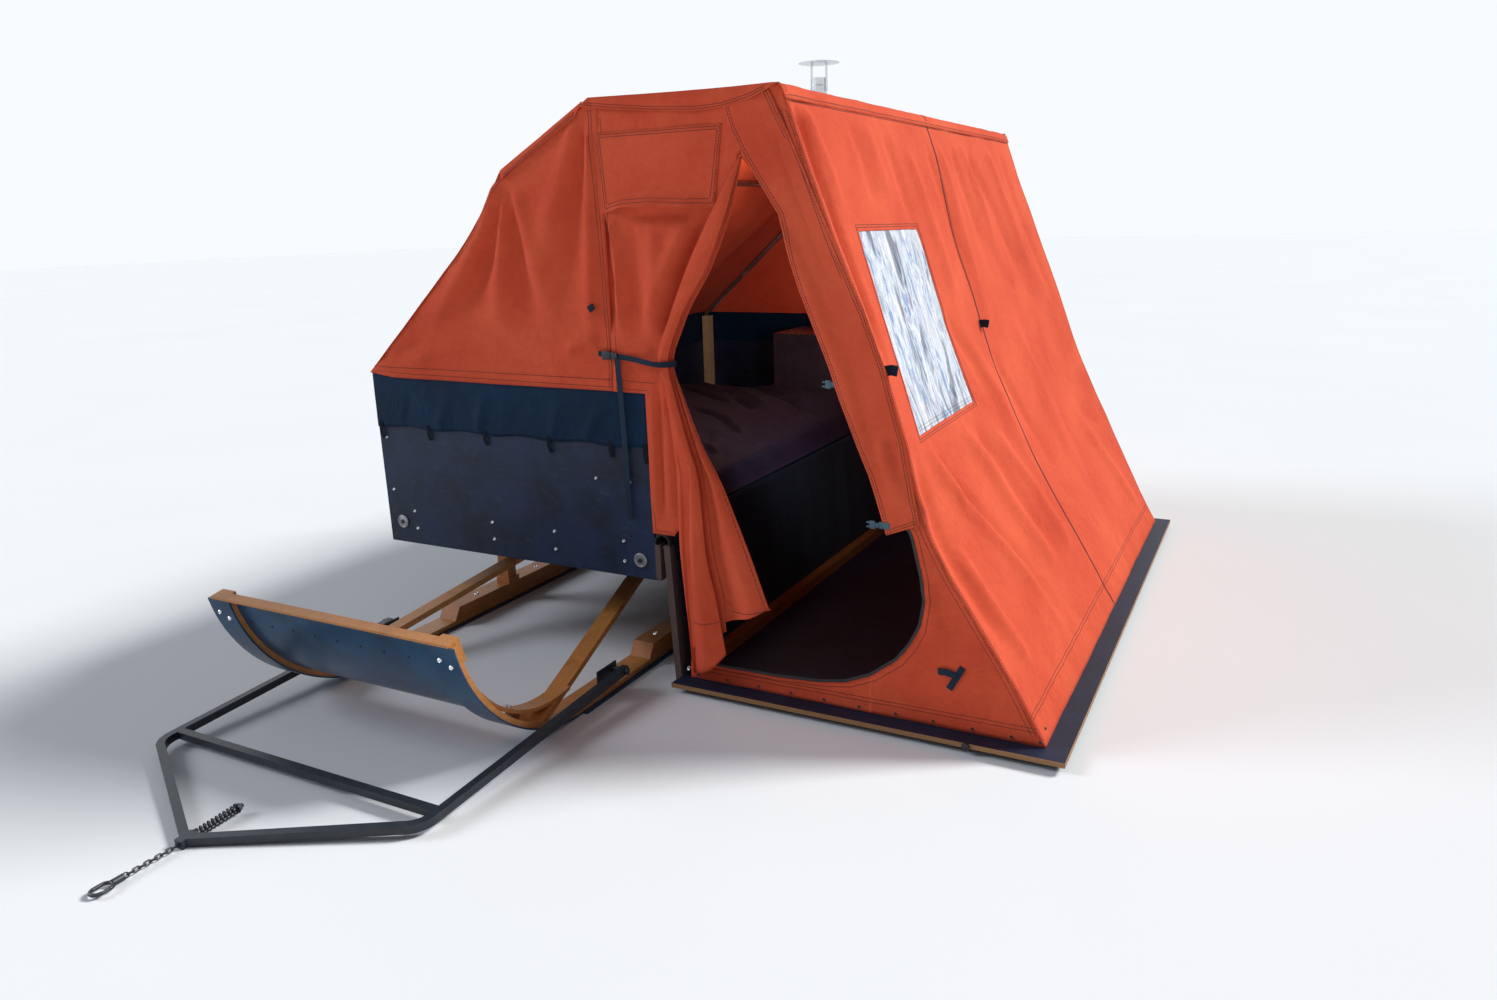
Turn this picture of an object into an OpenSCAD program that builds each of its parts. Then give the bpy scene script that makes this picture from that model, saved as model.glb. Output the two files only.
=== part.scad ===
// Folding canvas hut on a plywood box, carried by a wooden sled with a tow bar.

/* [Box] */
// Outer width of the plywood box
box_w = 1210; // [1100:10:1300]
// Length of the box and of the hut
hut_len = 2500; // [2200:10:2700]
// Height of the box floor's underside above the ground
box_z = 366; // [330:2:400]
// Height of the box walls
wall_h = 494; // [440:2:540]
// Thickness of the plywood
ply_t = 12; // [9:1:18]
// Height of the low wall on the open side
low_wall_h = 125; // [100:1:150]
// Thickness of the low wall
board_t = 20; // [15:1:25]
// Thickness of the riser board
riser_t = 24; // [18:1:30]
// Side of the square corner posts
post_w = 45; // [35:1:60]

/* [Fold-out floor] */
// Lean of the riser board, top to foot, sideways
riser_lean = 25; // [15:1:60]
// Distance from the box to the foot of the riser board
riser_foot = 59; // [50:1:110]
// Width of the fold-out floor
floor_w = 1290; // [1150:10:1350]
// Thickness of the fold-out floor
floor_t = 15; // [12:1:20]
// Thickness of the battens under the fold-out floor
batten_t = 20; // [15:1:30]
// Overhang of the fold-out floor at the front
floor_front = 70; // [30:5:90]
// Overhang of the fold-out floor at the rear
floor_rear = 50; // [30:5:90]
// Side of the batten that stops the floor mat
stop_batten = 40; // [30:1:50]

/* [Canvas] */
// Thickness of the canvas, modelled stiff
canvas_t = 3; // [2:0.5:5]
// Height where the canvas meets the dark skirt
skirt_top = 1020; // [980:5:1060]
// Height of the dark skirt
skirt_h = 200; // [170:5:230]
// Distance of the shoulder from the left side of the box
shoulder_x = 692; // [640:2:740]
// Height of the shoulder
shoulder_z = 1702; // [1640:2:1760]
// Distance of the left slope's inward bend from the left side of the box
elbow_x = 566; // [500:2:620]
// Height of the left slope's inward bend
elbow_z = 1520; // [1460:5:1580]
// Distance of the ridge's left tube from the left side of the box
ridge_left_x = 1048; // [980:2:1100]
// Distance of the ridge's right tube from the left side of the box
ridge_right_x = 1706; // [1640:2:1760]
// Height of the ridge
ridge_z = 1894; // [1830:2:1960]
// Distance of the long slope's knee from the left side of the box
knee_x = 2135; // [2100:1:2150]
// Height of the long slope's knee
knee_z = 700; // [660:5:760]
// Distance from the foot of the long slope to the floor's outer edge
slope_inset = 66; // [40:2:90]
// Diameter of the frame tubes
tube_d = 25; // [18:1:32]

/* [Door and window] */
// Sideways place of the door's top, from the box's open side
door_top_x = 364; // [340:2:400]
// Height of the door's top
door_top_z = 1709; // [1660:2:1740]
// Sideways place of the door's widest point
door_right_x = 937; // [880:2:980]
// Height where the door's straight side ends
door_side_z = 636; // [600:2:700]
// Radius of the door's lower corner
door_corner_r = 247; // [200:1:280]
// Height of the canvas sill under the door
door_sill = 95; // [60:1:120]
// Distance of the storm flap beside the door from the canvas edge
storm_inset = 4; // [3:1:20]
// Distance of the window from the ridge, down the slope
window_s = 414; // [380:2:480]
// Height of the window along the slope
window_h = 636; // [500:2:660]
// Distance of the window from the front
window_y = 190; // [60:2:220]
// Width of the window
window_w = 610; // [480:5:640]

/* [Bed and stove] */
// Thickness of the mattress
mattress_t = 120; // [80:5:150]
// Distance between the mattress and the stove cabinet
bed_gap = 38; // [20:2:60]
// Width of the stove cabinet
cabinet_w = 510; // [400:10:560]
// Depth of the stove cabinet
cabinet_d = 390; // [320:10:400]
// Height of the stove cabinet
cabinet_h = 572; // [500:2:620]
// Outer diameter of the stove pipe
pipe_d = 76; // [70:1:90]
// Wall of the stove pipe
pipe_wall = 1.5; // [1:0.5:3]
// Height of the stove pipe's top above the ground
pipe_top = 2185; // [2120:5:2230]
// Diameter of the rain cap
cap_d = 200; // [170:2:230]
// Gap between the pipe's top and the rain cap
cap_gap = 55; // [40:1:80]

/* [Sled] */
// Distance between the centres of the runners
gauge = 913; // [860:1:920]
// Width of a runner plank
runner_w = 90; // [70:1:100]
// Thickness of a runner plank
runner_t = 18; // [14:1:30]
// Thickness of the plastic sole
sole_t = 5; // [4:0.5:8]
// Width of the sole under the flat of the runner
sole_w = 130; // [110:2:134]
// Width of the sole on the bent tip
tip_sole_w = 98; // [92:1:110]
// Radius of the bent tip
tip_r = 550; // [500:5:600]
// Distance from the box front to the start of the bend
tip_start = 320; // [280:5:360]
// Angle through which the tip is bent
tip_angle = 78; // [60:1:80]
// Height of the timber on each runner
timber_h = 49; // [35:1:60]
// Distance of the timber's front end behind the box front
timber_start = 90; // [0:5:150]
// Length of the taper at the timber's front end
timber_taper = 30; // [20:5:200]
// Side of the cross beams
beam_w = 45; // [40:1:60]
// Side of the sled posts
leg_w = 50; // [35:1:56]
// Distance between the centres of a pair of posts
leg_gauge = 870; // [860:5:875]
// Distance of the first cross beam from the box front
beam_first = 440; // [400:5:480]
// Width of the nose stays
stay_w = 58; // [45:1:70]
// Thickness of the nose stays
stay_t = 22; // [16:1:28]
// Thickness of the curved nose plate
plate_t = 5; // [4:0.5:8]

/* [Tow bar] */
// Side of the square tube
bar_w = 25; // [20:1:30]
// Distance between the centres of the side bars
bar_gauge = 1080; // [1076:1:1110]
// Height of the tow bar's pivots
pivot_z = 80; // [70:1:95]
// Distance of the pivots in front of the box
pivot_y = 135; // [120:1:160]
// Distance from the pivots to the bends
bar_len = 935; // [880:5:980]
// Distance from the bends to the nose
nose_len = 293; // [280:1:330]
// Centre-line radius of the bends
bend_r = 70; // [50:1:90]
// Diameter of the pivot pins
pin_d = 12; // [10:1:14]
// Radial clearance of the pivot pins
pin_clear = 0.1; // [0.05:0.05:0.3]
// Diameter of the hitch rod
rod_d = 12; // [10:1:14]
// Mean diameter of the hitch spring
coil_d = 24; // [20:1:24]
// Diameter of the spring's wire
coil_wire = 5; // [3:0.5:5]
// Turns of the hitch spring
coil_turns = 10; // [6:1:12]
// Length of the hitch spring
coil_len = 122; // [90:1:130]
// Diameter of the chain's wire
link_wire = 4; // [3:0.5:4.5]
// Inner length of a chain link
link_in = 15; // [14:0.5:20]
// Inner width of a chain link
link_gap = 6.5; // [6:0.5:8]
// Number of chain links
link_count = 8; // [4:1:10]
// Outer width of the snap hook
hook_w = 44; // [38:1:50]
// Outer length of the snap hook's ring
hook_len = 62; // [56:1:95]
// Diameter of the snap hook's wire
hook_wire = 10; // [8:1:12]

/* [Hidden] */
$fn = 48;

// Gap between soft pieces and what they lie on
soft_gap = 0.3;
// Gap between the canvas and its frame
frame_gap = 0.3;
// A length that is longer than any piece, for cutting
far = 6000;

wall_top = box_z + wall_h;
floor_top = box_z + ply_t;
floor_z = batten_t + floor_t;
riser_side = riser_foot + riser_t;
floor_right = riser_side + floor_w;
sled_x = -box_w / 2;
tube_r = tube_d / 2;
left_x = -box_w - canvas_t;

// Outer line of the canvas across the hut, from the left skirt over the ridge
eave = [left_x, skirt_top];
elbow = [elbow_x - box_w, elbow_z];
shoulder = [shoulder_x - box_w, shoulder_z];
ridge_l = [ridge_left_x - box_w, ridge_z];
ridge_r = [ridge_right_x - box_w, ridge_z];
knee = [knee_x - box_w, knee_z];
slope_foot = [floor_right - slope_inset, floor_z];
roof = [eave, elbow, shoulder, ridge_l, ridge_r, knee, slope_foot];

function unit(v) = v / norm(v);
function side(a, b) = let (d = unit(b - a)) [d[1], -d[0]];
// Mitred corner i of the line p, moved inwards by d
function corner(p, i, d) =
    let (m = side(p[i - 1], p[i]), n = side(p[i], p[i + 1])) p[i] + (m + n) * d / (1 + m * n);
// Point at height z on the line a to b, moved inwards by d
function level(a, b, d, z) =
    let (n = side(a, b), q = a + n * d, u = unit(b - a)) q + u * (z - q[1]) / u[1];
function inner(d) = concat([level(eave, elbow, d, skirt_top)], [for (i = [1:5]) corner(roof, i, d)],
                           [level(knee, slope_foot, d, floor_z)]);
function arc(c, r, a0, a1, n) = [for (i = [0:n]) let (a = a0 + (a1 - a0) * i / n)
                                 c + r * [cos(a), sin(a)]];

// Seam between the two upper front panels, and the door opening
seam_x = ridge_l[0] - 10;
door_left = 85;
door_split = [door_top_x + 16, ridge_z];
door_side_x = door_right_x - 43;
corner_c = [door_right_x - door_corner_r, door_sill + door_corner_r];
door_low = [110, door_sill];
tie_z = 1105;
// Bends of the door's right edge, as shares of its width and of its height
door_bends = [[0.089, 0.964], [0.215, 0.902], [0.244, 0.869], [0.274, 0.826], [0.806, 0.426]];
door_span = door_right_x - door_top_x;
door_line = concat([[door_top_x, door_top_z]],
                   [for (q = door_bends) [door_top_x + q[0] * door_span, q[1] * door_top_z]],
                   [[door_side_x, door_side_z]], arc(corner_c, door_corner_r, 5, -90, 8),
                   [door_low, [door_left, tie_z]]);

// Tow bar: tilt at which its nose rests on the ground
bar_half = bar_gauge / 2;
plate_reach = 8;
reach = bar_len + nose_len + bar_w / 2 + plate_reach;
tow_tilt = asin(pivot_z / norm([reach, bar_w / 2])) - atan(bar_w / 2 / reach);
nose_angle = atan2(bar_half, nose_len);

// Chain and hook, ahead of the nose on the ground
nose_y = -pivot_y - bar_len - nose_len - bar_w / 2 - plate_reach;
// Play between one chain link and the next
link_play = 0.4;
link_pitch = link_in - link_play;
link_r = (link_gap + link_wire) / 2;
eye_r = link_r + 1.5;
eye_y = nose_y - 16;
chain_z = pivot_z + (eye_y + pivot_y) * tan(tow_tilt);
chain_end = eye_y - link_pitch * link_count;
hook_eye_y = chain_end + link_play / 2 - eye_r + link_wire / 2;
barrel_len = 28;
barrel_d = 18;
hook_back = hook_eye_y - eye_r - barrel_len + hook_wire / 2;
hook_tip = hook_back - hook_len;
floor_back = hut_len + floor_rear;

// The middle of the part's base, which becomes the origin
mid_x = (left_x + floor_right) / 2;
mid_y = (hook_tip + floor_back) / 2;

module place() {
    translate([-mid_x, -mid_y, 0]) children();
}

// A shape drawn across the hut, pulled from y0 to y1
module across(y0, y1) {
    translate([0, y1, 0]) rotate([90, 0, 0]) linear_extrude(y1 - y0) children();
}

// A shape drawn from the side, pulled from x0 to x1
module sideways(x0, x1) {
    translate([x0, 0, 0]) rotate([90, 0, 90]) linear_extrude(x1 - x0) children();
}

module block(x, y, z) {
    translate([x[0], y[0], z[0]]) cube([x[1] - x[0], y[1] - y[0], z[1] - z[0]]);
}

// Bent strip seen from the side: depth h0 to h1 above the bottom of the runner
module tip_arc(h0, h1, a0, a1) {
    translate([-tip_start, tip_r]) intersection() {
        difference() {
            circle(r = tip_r - h0, $fn = 120);
            circle(r = tip_r - h1, $fn = 120);
        }
        polygon(concat([[0, 0]], arc([0, 0], 2 * tip_r, -90 - a0, -90 - a1, 6)));
    }
}

module runner_profile(h0, h1, a1) {
    union() {
        tip_arc(h0, h1, 0, a1);
        translate([-tip_start, h0]) square([tip_start + hut_len - 60, h1 - h0]);
    }
}

module plank(x) {
    color("peru") place() sideways(x - runner_w / 2, x + runner_w / 2)
        runner_profile(sole_t, sole_t + runner_t, tip_angle);
}

module sole(x) {
    color("darkslateblue") place() {
        sideways(x - tip_sole_w / 2, x + tip_sole_w / 2) tip_arc(0, sole_t, 0, tip_angle);
        block([x - sole_w / 2, x + sole_w / 2], [-tip_start, hut_len - 60], [0, sole_t]);
    }
}

module left_runner() plank(sled_x - gauge / 2);
module right_runner() plank(sled_x + gauge / 2);
module left_sole() sole(sled_x - gauge / 2);
module right_sole() sole(sled_x + gauge / 2);

plank_top = sole_t + runner_t;
timber_top = plank_top + timber_h;
timber_w = runner_w - 6;

module runner_timbers() {
    color("sienna") place() for (s = [-1, 1])
        let (x = sled_x + s * gauge / 2)
        sideways(x - timber_w / 2, x + timber_w / 2)
            polygon([[timber_start, plank_top], [timber_start + timber_taper, timber_top],
                     [hut_len - 120, timber_top], [hut_len - 80, plank_top]]);
}

// Width of the crossbar, thickness of its lip, and angles of its two edges
crossbar_w = gauge + 62;
crossbar_t = 6;
crossbar_over = 0.9;
crossbar_under = 2;
// Thickness of the cleats behind its ends, how far they reach down the tip, and their width
cleat_t = 20;
cleat_under = 8;
cleat_w = 58;

module nose_crossbar() {
    top = plank_top + plate_t;
    end = tip_angle + crossbar_over;
    color("peru") place() translate([sled_x, 0, 0]) {
        sideways(-crossbar_w / 2, crossbar_w / 2) union() {
            tip_arc(0, top, tip_angle, end);
            tip_arc(top, top + crossbar_t, tip_angle - crossbar_under, end);
        }
        for (s = [-1, 1]) let (x = s * (crossbar_w - cleat_w) / 2)
            sideways(x - cleat_w / 2, x + cleat_w / 2)
            tip_arc(top, top + cleat_t, tip_angle - cleat_under, end);
    }
}

// Angle on the bent tip at which the nose plate starts
plate_angle = 31;

module nose_plate() {
    color("midnightblue") place() sideways(sled_x - gauge / 2, sled_x + gauge / 2)
        tip_arc(plank_top, plank_top + plate_t, plate_angle, tip_angle);
}

// Two points on the centre line of a nose stay, and how far inwards they are
stay_out = 3;
stay_in = 159;
stay_from = [gauge / 2 - stay_out, -tip_start - 130, 62];
stay_to = [gauge / 2 - stay_in, 300, 218];
stay_vec = stay_to - stay_from;
stay_yaw = atan2(stay_vec[0], stay_vec[1]);
stay_rise = atan2(stay_vec[2], norm([stay_vec[0], stay_vec[1]]));
stay_slope = atan2(stay_vec[2], stay_vec[1]);

// The stay's upper lamination: it leaves the stay's upper face in an arc that ends, at the
// angle lam_end, on the nose plate
lam_t = 12;
lam_end = 54;
lam_shift = 14;
lam_bend = lam_end + stay_slope;
lam_tip_r = tip_r - plank_top - plate_t;
stay_face = stay_from[2] + stay_t / 2 / cos(stay_rise) - (tip_start + stay_from[1]) * tan(stay_slope);
lam_drop = (tip_r - stay_face) * cos(stay_slope);
lam_r = (lam_drop + lam_t - lam_tip_r * cos(lam_bend)) / (1 - cos(lam_bend));
lam_c = [-tip_start, tip_r] - (lam_tip_r - lam_r) * [sin(lam_end), cos(lam_end)];
// First and last angle, and height, of the block between the lamination and the runner
spacer_from = 24;
spacer_to = 30.5;
spacer_h = 60;

module stay_lamination() {
    x = gauge / 2 - lam_shift;
    sideways(x - stay_w / 2, x + stay_w / 2) {
        translate(lam_c) intersection() {
            difference() {
                circle(r = lam_r, $fn = 120);
                circle(r = lam_r - lam_t, $fn = 120);
            }
            polygon(concat([[0, 0]], arc([0, 0], 2 * lam_r, stay_slope - 90, -lam_end - 90, 6)));
        }
        difference() {
            tip_arc(plank_top, plank_top + spacer_h, spacer_from, spacer_to);
            translate(lam_c) circle(r = lam_r - lam_t / 2, $fn = 120);
        }
    }
}

module nose_stay() {
    difference() {
        translate(stay_from) rotate([stay_rise, 0, -stay_yaw])
            translate([-stay_w / 2, -tip_r, -stay_t / 2]) cube([stay_w, hut_len, stay_t]);
        translate([-far / 2, -far, box_z]) cube([far, 2 * far, far]);
        translate([-far / 2, -far, -far]) cube([far, 2 * far, far + plank_top]);
        sideways(-far / 2, far / 2) translate([-tip_start, tip_r])
            difference() {
                translate([-far, -far]) square([far, 2 * far]);
                circle(r = tip_r - plank_top, $fn = 120);
            }
    }
}

module nose_stays() {
    color("peru") place() translate([sled_x, 0, 0]) {
        for (m = [0, 1]) mirror([m, 0, 0]) {
            nose_stay();
            stay_lamination();
        }
    }
}

beam_step = (hut_len - 2 * beam_first) / 2;
beam_z = box_z - beam_w;

// Height of a post's foot block, and how far it stands out around the post
shoe_h = 28;
shoe_out = 8;

module sled_posts() {
    shoe_w = leg_w + 2 * shoe_out;
    color("sienna") place() for (i = [0:2]) for (s = [-1, 1])
        translate([sled_x + s * leg_gauge / 2, beam_first + i * beam_step, timber_top]) {
            translate([-leg_w / 2, -leg_w / 2, 0]) cube([leg_w, leg_w, beam_z - timber_top]);
            translate([-shoe_w / 2, -shoe_w / 2, 0]) cube([shoe_w, shoe_w, shoe_h]);
        }
}

module cross_beams() {
    color("sienna") place() for (i = [0:2])
        let (y = beam_first + i * beam_step)
        block([sled_x - leg_gauge / 2 - leg_w, sled_x + leg_gauge / 2 + leg_w],
              [y - beam_w / 2, y + beam_w / 2], [beam_z, box_z]);
}

// A bracket's ear, its foot on the runner, and the lengths fore and aft of the pivot
ear_t = 5;
ear_x = (gauge + runner_w) / 2;
ear_fore = 90;
ear_aft = 18;
ear_over = 23;
foot_w = 34;
collar_d = pin_d + 9;
nut_w = pin_d + 10;
// Sideways play of a side bar on its pin
bar_play = 0.3;
pin_out = bar_half + bar_w / 2 + bar_play;
pivot_nut_t = 8;

module tow_bracket() {
    block([ear_x - ear_t, ear_x], [-pivot_y - ear_fore, -pivot_y + ear_aft],
          [plank_top, pivot_z + ear_over]);
    block([ear_x - foot_w, ear_x], [-pivot_y - ear_fore, -pivot_y + ear_aft],
          [plank_top, plank_top + ear_t]);
    translate([0, -pivot_y, pivot_z]) rotate([0, 90, 0]) {
        translate([0, 0, ear_x]) cylinder(d = pin_d, h = pin_out - ear_x);
        translate([0, 0, ear_x]) cylinder(d = collar_d, h = bar_half - bar_w / 2 - bar_play - ear_x);
        translate([0, 0, pin_out]) cylinder(d = nut_w, h = pivot_nut_t);
    }
}

module tow_brackets() {
    color("dimgray") place() translate([sled_x, 0, 0]) {
        tow_bracket();
        mirror([1, 0, 0]) tow_bracket();
    }
}

// The tow bar in its own plane: pivots on the line y = 0, nose towards -y
module tow_plane() {
    place() translate([sled_x, -pivot_y, pivot_z]) rotate([tow_tilt, 0, 0]) children();
}

bend_tan = bend_r * tan(nose_angle / 2);
// Overlap that welds a bend to its straight tubes, in degrees
weld = 0.2;
nose_bar = norm([bar_half, nose_len]);
// Length of a side bar behind its pivot
bar_end = 16;

module side_bar() {
    difference() {
        union() {
            translate([bar_half - bar_w / 2, -bar_len + bend_tan, -bar_w / 2])
                cube([bar_w, bar_len - bend_tan + bar_end, bar_w]);
            translate([bar_half - bend_r, -bar_len + bend_tan, -bar_w / 2])
                rotate([0, 0, -nose_angle - weld])
                rotate_extrude(angle = nose_angle + 2 * weld, $fn = 96)
                translate([bend_r - bar_w / 2, 0]) square([bar_w, bar_w]);
            translate([bar_half, -bar_len, 0]) rotate([0, 0, -nose_angle])
                translate([-bar_w / 2, -nose_bar - bar_w, -bar_w / 2])
                cube([bar_w, nose_bar + bar_w - bend_tan, bar_w]);
        }
        translate([-far, -far, -far]) cube([far + plate_half, 2 * far, 2 * far]);
        rotate([0, 90, 0]) cylinder(r = pin_d / 2 + pin_clear, h = far);
    }
}

module tow_side_bars() {
    color("darkslategray") tow_plane() {
        side_bar();
        mirror([1, 0, 0]) side_bar();
    }
}

// Distance of the cross tube behind the bends
cross_back = 52;

module tow_cross_tube() {
    color("darkslategray") tow_plane()
        translate([-bar_half + bar_w / 2, -bar_len + cross_back, -bar_w / 2])
        cube([bar_gauge - bar_w, bar_w, bar_w]);
}

// Half width of the nose plate, and its length behind the bars
plate_half = 14;
plate_tail = 14;
rod_front = reach;

module tow_nose_plate() {
    color("darkslategray") tow_plane() difference() {
        translate([-plate_half, -rod_front, -bar_w / 2])
            cube([2 * plate_half, bar_w + plate_reach + plate_tail, bar_w]);
        rotate([90, 0, 0]) cylinder(r = rod_d / 2 + pin_clear, h = far);
    }
}

plate_back = rod_front - bar_w - plate_reach - plate_tail;
eye_reach = 6;
rod_tail = 22;
washer_t = 3;
washer_d = coil_d + coil_wire;
nut_d = rod_d + 9;
nut_t = 9;
rod_eye_y = (pivot_y + eye_y - link_play / 2 + eye_r - link_wire / 2) / cos(tow_tilt);

// The rod passes through the nose plate, and carries washers, a nut and an eye
module hitch_rod() {
    color("gray") tow_plane() {
        translate([0, -rod_front - eye_reach, 0]) rotate([-90, 0, 0])
            cylinder(d = rod_d, h = rod_front + eye_reach - plate_back + coil_len + rod_tail);
        for (y = [0, washer_t + coil_len]) translate([0, y - plate_back, 0]) rotate([-90, 0, 0])
            cylinder(d = washer_d, h = washer_t);
        translate([0, -plate_back + 2 * washer_t + coil_len, 0]) rotate([-90, 0, 0])
            cylinder(d = nut_d, h = nut_t, $fn = 6);
        translate([0, rod_eye_y, 0]) rotate([0, -45, 0]) ring(eye_r, link_wire);
    }
}

module ring(r, wire) {
    rotate_extrude($fn = 48) translate([r, 0]) circle(d = wire, $fn = 24);
}

coil_sides = 6;
coil_steps = 14;
coil_n = coil_turns * coil_steps;
function coil_point(i, j) =
    let (a = 360 * i / coil_steps, b = 360 * j / coil_sides + 30,
         r = coil_d / 2 + coil_wire / 2 * cos(b))
    [r * cos(a), coil_wire / 2 + (coil_len - coil_wire) * i / coil_n + coil_wire / 2 * sin(b),
     r * sin(a)];

module hitch_spring() {
    points = [for (i = [0:coil_n]) for (j = [0:coil_sides - 1]) coil_point(i, j)];
    walls = [for (i = [0:coil_n - 1]) for (j = [0:coil_sides - 1])
             let (k = (j + 1) % coil_sides, a = i * coil_sides)
             [a + j, a + k, a + coil_sides + k, a + coil_sides + j]];
    ends = [[for (j = [coil_sides - 1:-1:0]) j],
            [for (j = [0:coil_sides - 1]) coil_n * coil_sides + j]];
    color("dimgray") tow_plane() translate([0, -plate_back + washer_t, 0])
        polyhedron(points, concat(walls, ends), convexity = 10);
}

// A chain link lying along y, with its back end at the origin
module chain_link() {
    half = link_in / 2 - link_gap / 2;
    for (s = [-1, 1]) {
        translate([s * link_r, -half, 0]) rotate([-90, 0, 0])
            cylinder(d = link_wire, h = 2 * half, $fn = 24);
        translate([0, s * half, 0]) rotate([0, 0, s > 0 ? 0 : 180])
            rotate_extrude(angle = 180, $fn = 48) translate([link_r, 0])
            circle(d = link_wire, $fn = 24);
    }
}

module tow_chain() {
    color("dimgray") place() for (i = [0:link_count - 1])
        translate([sled_x, eye_y - link_pitch * (i + 0.5), chain_z])
            rotate([0, i % 2 == 0 ? 45 : -45, 0]) chain_link();
}

latch_wire = 7;

module snap_hook() {
    r = (hook_w - hook_wire) / 2;
    straight = hook_len - hook_w;
    color("darkslategray") place() translate([sled_x, 0, chain_z]) {
        translate([0, hook_eye_y, 0]) rotate([0, link_count % 2 == 0 ? 45 : -45, 0])
            ring(eye_r, link_wire);
        translate([0, hook_eye_y - eye_r, 0]) rotate([90, 0, 0]) cylinder(d = barrel_d, h = barrel_len);
        translate([0, hook_back - hook_w / 2, 0]) {
            rotate_extrude(angle = 180, $fn = 64) translate([r, 0]) circle(d = hook_wire, $fn = 24);
            translate([0, -straight, 0]) rotate([0, 0, 180])
                rotate_extrude(angle = 180, $fn = 64) translate([r, 0]) circle(d = hook_wire, $fn = 24);
            for (s = [-1, 1]) translate([s * r, 0, 0]) rotate([90, 0, 0])
                cylinder(d = s > 0 ? latch_wire : hook_wire, h = straight, $fn = 24);
        }
    }
}

module box_floor() {
    color("saddlebrown") place()
        block([-box_w + ply_t, 0], [ply_t, hut_len - ply_t], [box_z, floor_top]);
}

module front_wall() {
    color("darkslategray") place() block([-box_w, 0], [0, ply_t], [box_z, wall_top]);
}

module rear_wall() {
    color("darkslategray") place() block([-box_w, 0], [hut_len - ply_t, hut_len], [box_z, wall_top]);
}

module left_wall() {
    color("darkslategray") place()
        block([-box_w, -box_w + ply_t], [ply_t, hut_len - ply_t], [box_z, wall_top]);
}

low_top = box_z + low_wall_h;

module right_low_wall() {
    color("dimgray") place() block([0, board_t], [0, hut_len], [box_z, low_top]);
}

post_top = skirt_top - 18;

module corner_posts() {
    y0 = ply_t;
    y1 = hut_len - ply_t - post_w;
    color("burlywood") place() for (y = [y0, y1]) {
        block([-box_w + ply_t, -box_w + ply_t + post_w], [y, y + post_w], [floor_top, post_top]);
        block([-post_w, 0], [y, y + post_w], [floor_top, wall_top]);
    }
}

riser_top_x = riser_foot - riser_lean;
riser_h = low_top;
// Thickness of the hinge strip, and the height of its arch's centre above the boards
strip_t = 4;
strip_lift = 9;
strip_c = [(riser_top_x + riser_t) / 2, low_top + strip_lift];
strip_r = strip_c[0];
strip_top = strip_c[1] + strip_r;

module riser_board() {
    color("dimgray") place() across(0, hut_len)
        polygon([[riser_foot, 0], [riser_side, 0],
                 [riser_top_x + riser_t, riser_h], [riser_top_x, riser_h]]);
}

// The flexible hinge, arched over the tops of the low wall and the riser board
module hinge_strip() {
    color("black") place() across(0, hut_len) intersection() {
        translate(strip_c) difference() {
            circle(r = strip_r);
            circle(r = strip_r - strip_t);
        }
        translate([0, low_top]) square(4 * strip_r);
    }
}

module floor_panel() {
    color("saddlebrown") place()
        block([riser_side, floor_right], [-floor_front, floor_back], [batten_t, floor_z]);
}

floor_batten_w = 45;
floor_batten_count = 5;

module floor_battens() {
    step = (hut_len - floor_batten_w) / (floor_batten_count - 1);
    color("sienna") place() for (i = [0:floor_batten_count - 1])
        block([riser_side + 30, floor_right - 30],
              [i * step, i * step + floor_batten_w], [0, batten_t]);
}

// Distance of the stop batten from the riser board
stop_gap = 23;

module stop_batten_bar() {
    x = riser_side + stop_gap;
    color("goldenrod") place()
        block([x, x + stop_batten], [30, hut_len - 30], [floor_z, floor_z + stop_batten]);
}

// Height of the bed board above the low wall, and the mattress's distance from its edge
bed_rise = 25;
bed_edge = 2;
bed_z = low_top + bed_rise;
bed_front = ply_t + post_w + 3;
cabinet_back = hut_len - ply_t - 10;
mattress_back = cabinet_back - cabinet_d - bed_gap;
bed_back = mattress_back + 10;

module bed_board() {
    color("saddlebrown") place()
        block([-box_w + ply_t, 0], [bed_front, bed_back], [bed_z - ply_t, bed_z]);
}

module mattress() {
    color("indigo") place()
        block([-box_w + ply_t + 8, -bed_edge], [bed_front, mattress_back],
              [bed_z + soft_gap, bed_z + soft_gap + mattress_t]);
}

cabinet_x = -post_w - 15 - cabinet_w;
lid_t = 6;

module stove_cabinet() {
    color("dimgray") place()
        block([cabinet_x, cabinet_x + cabinet_w], [cabinet_back - cabinet_d, cabinet_back],
              [floor_top, floor_top + cabinet_h]);
}

module cabinet_top() {
    color("silver") place()
        block([cabinet_x, cabinet_x + cabinet_w], [cabinet_back - cabinet_d, cabinet_back],
              [floor_top + cabinet_h, floor_top + cabinet_h + lid_t]);
}

// The pipe's centre, from the cabinet's left and front sides
pipe_left = 220;
pipe_front = 120;
pipe_x = cabinet_x + pipe_left;
pipe_y = cabinet_back - cabinet_d + pipe_front;
pipe_z = floor_top + cabinet_h + lid_t;

module stove_pipe() {
    color("silver") place() translate([pipe_x, pipe_y, pipe_z]) difference() {
        cylinder(d = pipe_d, h = pipe_top - pipe_z, $fn = 64);
        translate([0, 0, 5]) cylinder(d = pipe_d - 2 * pipe_wall, h = far, $fn = 64);
    }
}

cap_z = pipe_top + cap_gap;

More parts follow.
